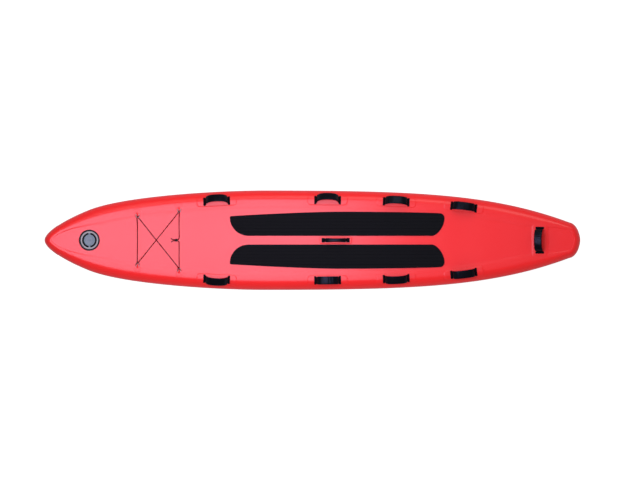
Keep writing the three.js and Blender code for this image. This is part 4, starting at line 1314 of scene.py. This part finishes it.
def groove_cutter(y):
    """A long bar whose section opens upwards, for one groove."""
    half = groove_width / 2
    floor = pad_thickness - groove_depth
    levels = (pad_thickness + groove_overrun, pad_thickness + groove_clearance,
              pad_thickness - groove_lip, floor + groove_floor_rise, floor)
    wall = [(half * share, level) for share, level in zip(groove_width_shares, levels)]
    section = wall + [(-across, up) for across, up in reversed(wall)]
    ends = (-pad_nose - groove_end_overrun, pad_tail + groove_end_overrun)
    rings = [[Vector((x, y + across, up)) for across, up in section] for x in ends]
    return stack("groove", rings)


# Grab handles

def loop_frame(joint_name, tilt):
    joint = joints[joint_name]
    origin = Vector(joint["pos_m"])
    along = Vector(joint["axis"]).normalized()
    flat_up = Vector((-slope(origin.x), 0, 1)).normalized()
    across = flat_up.cross(along).normalized()
    up = along.cross(across)
    turn = Matrix.Rotation(tilt, 3, along)
    return origin, along, turn @ across, turn @ up


def on_hull(axes, run, side, height):
    """A point over the smooth hull, from a handle's place along and across it."""
    origin, along, across, up = axes
    point = origin - up * hinge_height + along * run + across * side
    point.z = band_top(point.x, point.y)
    return point + up * height


def soft_grid(axes, runs, sides_at, heights):
    return [[on_hull(axes, run, side, height) for side, height in zip(sides_at(run), row)]
            for run, row in zip(runs, heights)]


def make_base_patch(name, node, axes, sizes):
    """A thin glued patch with rounded corners and feathered edges."""
    half_long, half_wide = sizes["patch_length"] / 2, sizes["patch_width"] / 2
    corner = min(patch_corner, half_wide * patch_corner_share)
    steps = framed_shares(patch_end_shares, reach=0.92, count=22)
    runs = [half_long * step for step in steps]
    shares = framed_shares(patch_side_shares, reach=0.7, count=8)

    def sides_at(run):
        past = max(0.0, abs(run) - (half_long - corner)) / corner
        reach = half_wide - corner * (1 - math.sqrt(max(0.0, 1 - past * past)))
        return [reach * share for share in shares]

    def rise(step, share):
        inside = min(half_wide * (1 - abs(share)), half_long * (1 - abs(step)))
        return patch_rim + (patch_thickness - patch_rim) * smooth(inside / sizes["patch_feather"])

    heights = [[rise(step, share) for share in shares] for step in steps]
    under = [[patch_gap] * len(shares)] * len(steps)
    patch = slab(name, soft_grid(axes, runs, sides_at, heights),
                 soft_grid(axes, runs, sides_at, under))
    finish_piece(patch, "hull", "patch", "patch_fabric", node)


def make_tabs(word, axes, sizes):
    """Two sewn bars that hold the ends of the strap, and their stitching."""
    middle = sizes["length"] / 2 - sizes["tab_length"] / 2
    half_long, half_wide = sizes["tab_length"] / 2, sizes["tab_width"] / 2
    sides = [half_wide * share for share in tab_shares]
    heights = [[patch_thickness + sizes["tab_thickness"] * a * b for b in tab_drop_shares]
               for a in tab_drop_shares]
    under = [[patch_thickness / 2] * len(sides)] * len(sides)
    run_share, side_share = tab_stitch_shares
    top = patch_thickness + sizes["tab_thickness"] + tab_stitch_lift
    for end, letter in ((-1, "nose"), (1, "tail")):
        runs = [end * middle + half_long * share for share in tab_shares]
        bar = slab(f"tab_{letter}_{word}", soft_grid(axes, runs, lambda run: sides, heights),
                   soft_grid(axes, runs, lambda run: sides, under))
        finish_piece(bar, "hull", "webbing", "webbing")
        rows = []
        for run in (end * middle - half_long * run_share, end * middle + half_long * run_share):
            rows.append([on_hull(axes, run, side * half_wide * side_share, top) for side in (-1, 1)])
        sewn = stitches(f"tab_stitching_{letter}_{word}", rows)
        finish_piece(sewn, "hull", "thread", "webbing")


def loop_path(sizes, ends):
    """The strap's line in the plane of its loop, along and up."""
    half_span = (sizes["length"] - strap_thickness) / 2 - sizes["tab_length"]
    rising = [Vector((along * half_span, 0, up * sizes["rise"])) for along, up in loop_shares]
    if ends:
        rising = [Vector((along - half_span, 0, up)) for along, up in strap_foot] + rising[1:]
    falling = [Vector((-point.x, 0, point.z)) for point in reversed(rising[:-1])]
    return curve_through(rising + falling, steps=8)


def bent_frames(axes, path, lean):
    """Frames of a path whose lean sets in over its first rise."""
    origin, along, across, up = axes
    frames = []
    for i, point in enumerate(path):
        before, after = path[max(i - 1, 0)], path[min(i + 1, len(path) - 1)]
        run = (after - before).normalized()
        turn = Matrix.Rotation(lean * smooth(point.z / lean_rise), 3, along)
        side, rise = turn @ across, turn @ up
        out = along * -run.z + rise * run.x
        frames.append((origin + along * point.x + rise * point.z, side, out))
    return frames


def make_strap(name, node, axes, sizes, lean):
    path = spaced(loop_path(sizes, ends=True), count=72)
    section = pillow_section(sizes["strap_width"] / 2, strap_thickness / 2, sides=20, square=9)
    rings = [[centre + side * u + out * v for u, v in section]
             for centre, side, out in bent_frames(axes, path, lean)]
    strap = stack(name, rings)
    finish_piece(strap, None, "webbing", "webbing", node)
    origin, along, across, up = axes
    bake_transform(strap)


def wrinkles(share, u, v, seed):
    """How far a grip's side wanders and its face swells at a place of its sleeve."""
    along, across, through = bulge_rates
    bulge_at = Vector((share * along, u * across, v * through + seed * bulge_seed_step))
    along, across, through = crease_rates
    crease_at = Vector((share * along + u * across, seed * crease_seed_step, v * through))
    swell = noise.noise(bulge_at) * bulge_weight
    swell += (abs(noise.noise(crease_at)) - crease_floor) * crease_weight
    return 1 + edge_wobble * noise.noise(bulge_at * 2), swell * wrinkle_depth


def make_grip(name, node, axes, sizes, lean, body, seed):
    """A padded sleeve round the strap, a little wrinkled, with bound ends and a sewn edge."""
    full = spaced(loop_path(sizes, ends=False), grip_steps)
    margin = round(grip_steps * (1 - sizes["grip_share"]) / 2)
    frames = bent_frames(axes, full, lean)[margin:grip_steps + 1 - margin]
    slim = sizes["width"] < slim_width
    square = grip_squareness["slim" if slim else "broad"]
    full_thick = sizes["grip_thickness"] / 2
    binding_at, binding_spread = binding_shares
    rings = []
    for i, (centre, side, out) in enumerate(frames):
        share = i / (len(frames) - 1)
        near_end = min(share, 1 - share) * 2
        ease = smooth(near_end / grip_end_share)
        thick = full_thick * (grip_thick_shares[0] + grip_thick_shares[1] * ease)
        wide = sizes["width"] / 2 * (grip_wide_shares[0] + grip_wide_shares[1] * ease)
        if slim:
            wide *= 1 - slim_waist_share * math.sin(math.pi * share)
        thick += binding_swell * math.exp(-((near_end - binding_at) / binding_spread) ** 2)
        ring = []
        for u, v in pillow_section(wide, thick, sides=36, square=square):
            wander, swell = wrinkles(share, u, v, seed)
            lip = abs(v) / (full_thick + lip_floor)
            ring.append(centre + side * u * wander + out * (v + swell * ease * lip))
        rings.append(ring)
    grip = stack(name, rings)
    finish_piece(grip, body, "grip", "grip_neoprene", node)
    rows = []
    shift = 0.0 if slim else sizes["width"] / 2 - grip_stitch_inset
    lift_out = full_thick + grip_stitch_lift
    sewn_frames = frames[grip_stitch_margin:-grip_stitch_margin:2]
    for edge in (-1,) if slim else (-1, 1):
        for ends in zip(sewn_frames, sewn_frames[1:]):
            rows.append([centre + side * edge * shift + out * lift_out for centre, side, out in ends])
    sewn = stitches(name.replace("grip", "grip_stitching"), rows)
    finish_piece(sewn, body, "thread", "webbing")


def make_handle(word, nodes, joint_name, body, sizes, tilt, lean, seed):
    base, strap, grip = nodes
    axes = loop_frame(joint_name, tilt)
    make_base_patch(f"base_patch_{word}", base, axes, sizes)
    make_tabs(word, axes, sizes)
    make_strap(f"strap_{word}", strap, axes, sizes, lean)
    make_grip(f"grip_{word}", grip, axes, sizes, lean, body, seed)


def make_handles():
    for side, word, leans in ((-1, "left", left_leans), (1, "right", right_leans)):
        for index, lean in enumerate(leans):
            number = f"{word}_{index + 1}"
            nodes = [f"handle_{part}_{number}" for part in ("base", "strap", "grip")]
            make_handle(number, nodes, f"{word}_loop_{index + 1}_flop", f"handle_{number}", side_sizes,
                        -side * math.radians(shoulder_tilt), -side * math.radians(lean),
                        index + 4 * (side > 0))
    make_handle("carry", ["carry_base", "carry_strap", "carry_grip"], "carry_loop_flop",
                "carry_handle", carry_sizes, tilt=0, lean=0, seed=9)
    make_handle("tail", ["tail_handle_base", "tail_handle_strap", "tail_handle_grip"],
                "tail_loop_flop", "tail_handle", tail_sizes, tilt=0,
                lean=math.radians(tail_lean), seed=10)


# Air valve

def valve_place():
    joint = joints["valve_cap_turn"]
    axis = Vector(joint["axis"]).normalized()
    side = Vector((0, 1, 0))
    forward = side.cross(axis)
    return Matrix.Translation(joint["pos_m"]) @ Matrix((forward, side, axis)).transposed().to_4x4()


def make_valve():
    place = valve_place()
    ring = turned("valve_ring", rounded([
        (valve_ring_inner, valve_ring_height),
        (valve_ring_outer, valve_ring_height * valve_ring_edge_share),
        (valve_ring_outer + valve_ring_flare, -valve_ring_sink), (valve_ring_inner, -valve_ring_sink)],
        valve_ring_round), place)
    finish_piece(ring, "hull", "black", "black_plastic", "valve_weld_ring")
    out = bowl_radius + bowl_wall
    body = turned("valve_housing", rounded([
        (bowl_radius, flange_height), (flange_radius - flange_chamfer, flange_height),
        (flange_radius, flange_height - flange_edge_drop), (flange_radius, flange_gap),
        (out, flange_gap), (out, -bowl_depth - bowl_wall), (collar_radius, -bowl_depth - bowl_wall),
        (collar_radius, -throat_depth), (seat_bore, -throat_depth),
        (seat_bore, -throat_depth + bowl_wall), (collar_bore, -throat_depth + bowl_wall * 2),
        (collar_bore, -bowl_depth + collar_height), (collar_radius, -bowl_depth + collar_height),
        (collar_radius, -bowl_depth), (bowl_radius, -bowl_depth)], body_round), place)
    finish_piece(body, "hull", "grey", "grey_plastic", "valve_body")
    # A thin black lining in the groove between collar and bowl wall: painted shade that darkens the
    # recess where shade falls.
    inner, outer = collar_radius + trough_gap, bowl_radius - trough_gap
    groove = turned("valve_groove_painted_shade", rounded([
        (inner, -bowl_depth + trough_lift), (outer, -bowl_depth + trough_lift),
        (outer, -trough_top), (bowl_radius - trough_wall_top, -trough_top),
        (bowl_radius - trough_wall_foot, -bowl_depth + trough_floor),
        (inner, -bowl_depth + trough_floor)], trough_round), place)
    finish_piece(groove, "hull", "black", "black_plastic")
    hub = turned("valve_guide_hub", [
        (guide_bore, -guide_depth), (guide_radius, -guide_depth),
        (guide_radius, -guide_depth - guide_thickness), (guide_bore, -guide_depth - guide_thickness)],
        place, segments=32)
    arms = [hub]
    middle = (guide_radius + collar_bore) / 2
    reach = collar_bore - guide_radius + arm_overlap
    for arm in range(arm_count):
        spot = place @ turn_about("Z", arm * math.tau / arm_count)
        spot = spot @ Matrix.Translation((middle, 0, -guide_depth - guide_thickness / 2))
        arms.append(block(f"arm_{arm}", (reach, arm_width, guide_thickness), spot, arm_round, 2))
    finish_piece(join("valve_guide", *arms), "hull", "grey", "grey_plastic")
    for side, word in ((-1, "left"), (1, "right")):
        spot = place @ Matrix.Translation((0, side * (bowl_radius - stop_sink), stop_height))
        stop = block(f"valve_stop_{word}", stop_size, spot, stop_round)
        finish_piece(stop, "hull", "grey", "grey_plastic")


def make_valve_cap():
    place = valve_place()
    lip = cap_top - cap_thickness
    low = -bowl_depth + cap_rise
    step = cap_radius * cap_step_share
    cap = turned("cap_shell", rounded([
        (0, lip), (0, cap_top - cap_dish), (step - cap_dish, cap_top - cap_dish), (step, cap_top),
        (cap_radius - cap_thickness, cap_top), (cap_radius, lip), (cap_radius, low),
        (collar_radius + cap_clearance, low), (collar_radius + cap_clearance, lip)][::-1],
        cap_round), place)
    parts = [cap]
    reach = lug_reach - cap_radius + cap_thickness
    for side in (-1, 1):
        spot = place @ Matrix.Translation((0, side * (lug_reach - reach / 2), lip))
        parts.append(block(f"lug_{side}", (lug_width, reach, lug_height), spot, lug_round))
    spot = place @ Matrix.Translation((0, 0, cap_top - bar_sink))
    parts.append(block("bar", bar_size, spot, bar_round))
    for rib in range(rib_count):
        angle = math.tau * rib / rib_count
        spot = place @ turn_about("Z", angle) @ Matrix.Translation((cap_radius, 0, (lip + low) / 2))
        parts.append(block(f"rib_{rib}", (rib_out, rib_width, (lip - low) * rib_length_share), spot,
                           rib_round, 2))
    cap = join("valve_lid", *parts)
    finish_piece(cap, "valve_cap", "cap", "cap_plastic", "valve_cap")


def make_valve_coil():
    """The plunger's spring, as a wire coil over the height of the frame's spring."""
    place = valve_place()
    node = frame["nodes"]["valve_spring"]
    levels = [(place.inverted() @ node.matrix_world @ vertex.co).z for vertex in node.data.vertices]
    low, high = min(levels) + coil_wire, max(levels) - coil_wire
    steps = coil_turns * coil_turn_steps
    path = []
    for step in range(steps + 1):
        angle = math.tau * coil_turns * step / steps
        spot = (coil_radius * math.cos(angle), coil_radius * math.sin(angle),
                low + (high - low) * step / steps)
        path.append(place @ Vector(spot))
    coil = tube("valve_coil", path, coil_wire, sides=10)
    finish_piece(coil, "hull", "steel", "steel", "valve_spring")
    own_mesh(coil)


# Underside

def make_tow_ring():
    joint = joints["tow_ring_swing"]
    pivot = Vector(joint["pos_m"])
    pitch = -math.atan(slope(-tow_forward))
    turn = turn_about("Y", pitch) @ turn_about("X", math.pi) @ turn_about("Z", math.pi / 2)
    place = Matrix.Translation(pivot) @ turn @ Matrix.Translation((0, 0, -tow_sizes["bar_height"]))
    make_anchor("tow_line", place, -math.pi / 2, tow_sizes, ("tow_anchor", "tow_ring"), "tow_ring")


def dress_nodes():
    """Finishes for the frame's own solids that stay in sight or inside."""
    plain = {
        "fin_box": "black", "fin_nut": "steel", "valve_nut": "black", "valve_plunger": "black",
        "drop_stitch_core": "core",
    }
    for node, finish in plain.items():
        piece = frame["nodes"][node]
        piece.data.materials.clear()
        piece.data.materials.append(finishes[finish])
    for node, width in bevel_widths.items():
        bevel = frame["nodes"][node].modifiers.new("soft edges", "BEVEL")
        bevel.width = width
        bevel.segments = 3
        bevel.limit_method = "ANGLE"
        bevel.angle_limit = bevel_angle


bpy.context.scene.view_settings.view_transform = "Standard"
make_camera()
make_bungee()
make_bungee_anchors()
make_cord_lock()
make_hull()
for pad_side, pad_word in ((-1, "left"), (1, "right")):
    make_pad(pad_side, pad_word)
make_handles()
make_valve()
make_valve_cap()
make_valve_coil()
make_tow_ring()
dress_nodes()
make_world(horizon=0.95, zenith=0.46, edge=0.22, ceiling=0.05)
make_floor(extent=40.0, colour=(0.4, 0.4, 0.4), glow=0.9)
make_area_light("nose light", place=(-0.44, 0.06, 3.0), aim=(-0.44, 0.0, 0.15), size=(1.8, 1.3),
                power=48.0, colour=(0.95, 0.76, 1.0))
make_area_light("key light", place=(0.9, 3.2, 3.8), aim=(0.6, 0.0, 0.1), size=(3.4, 2.6), power=56.0)
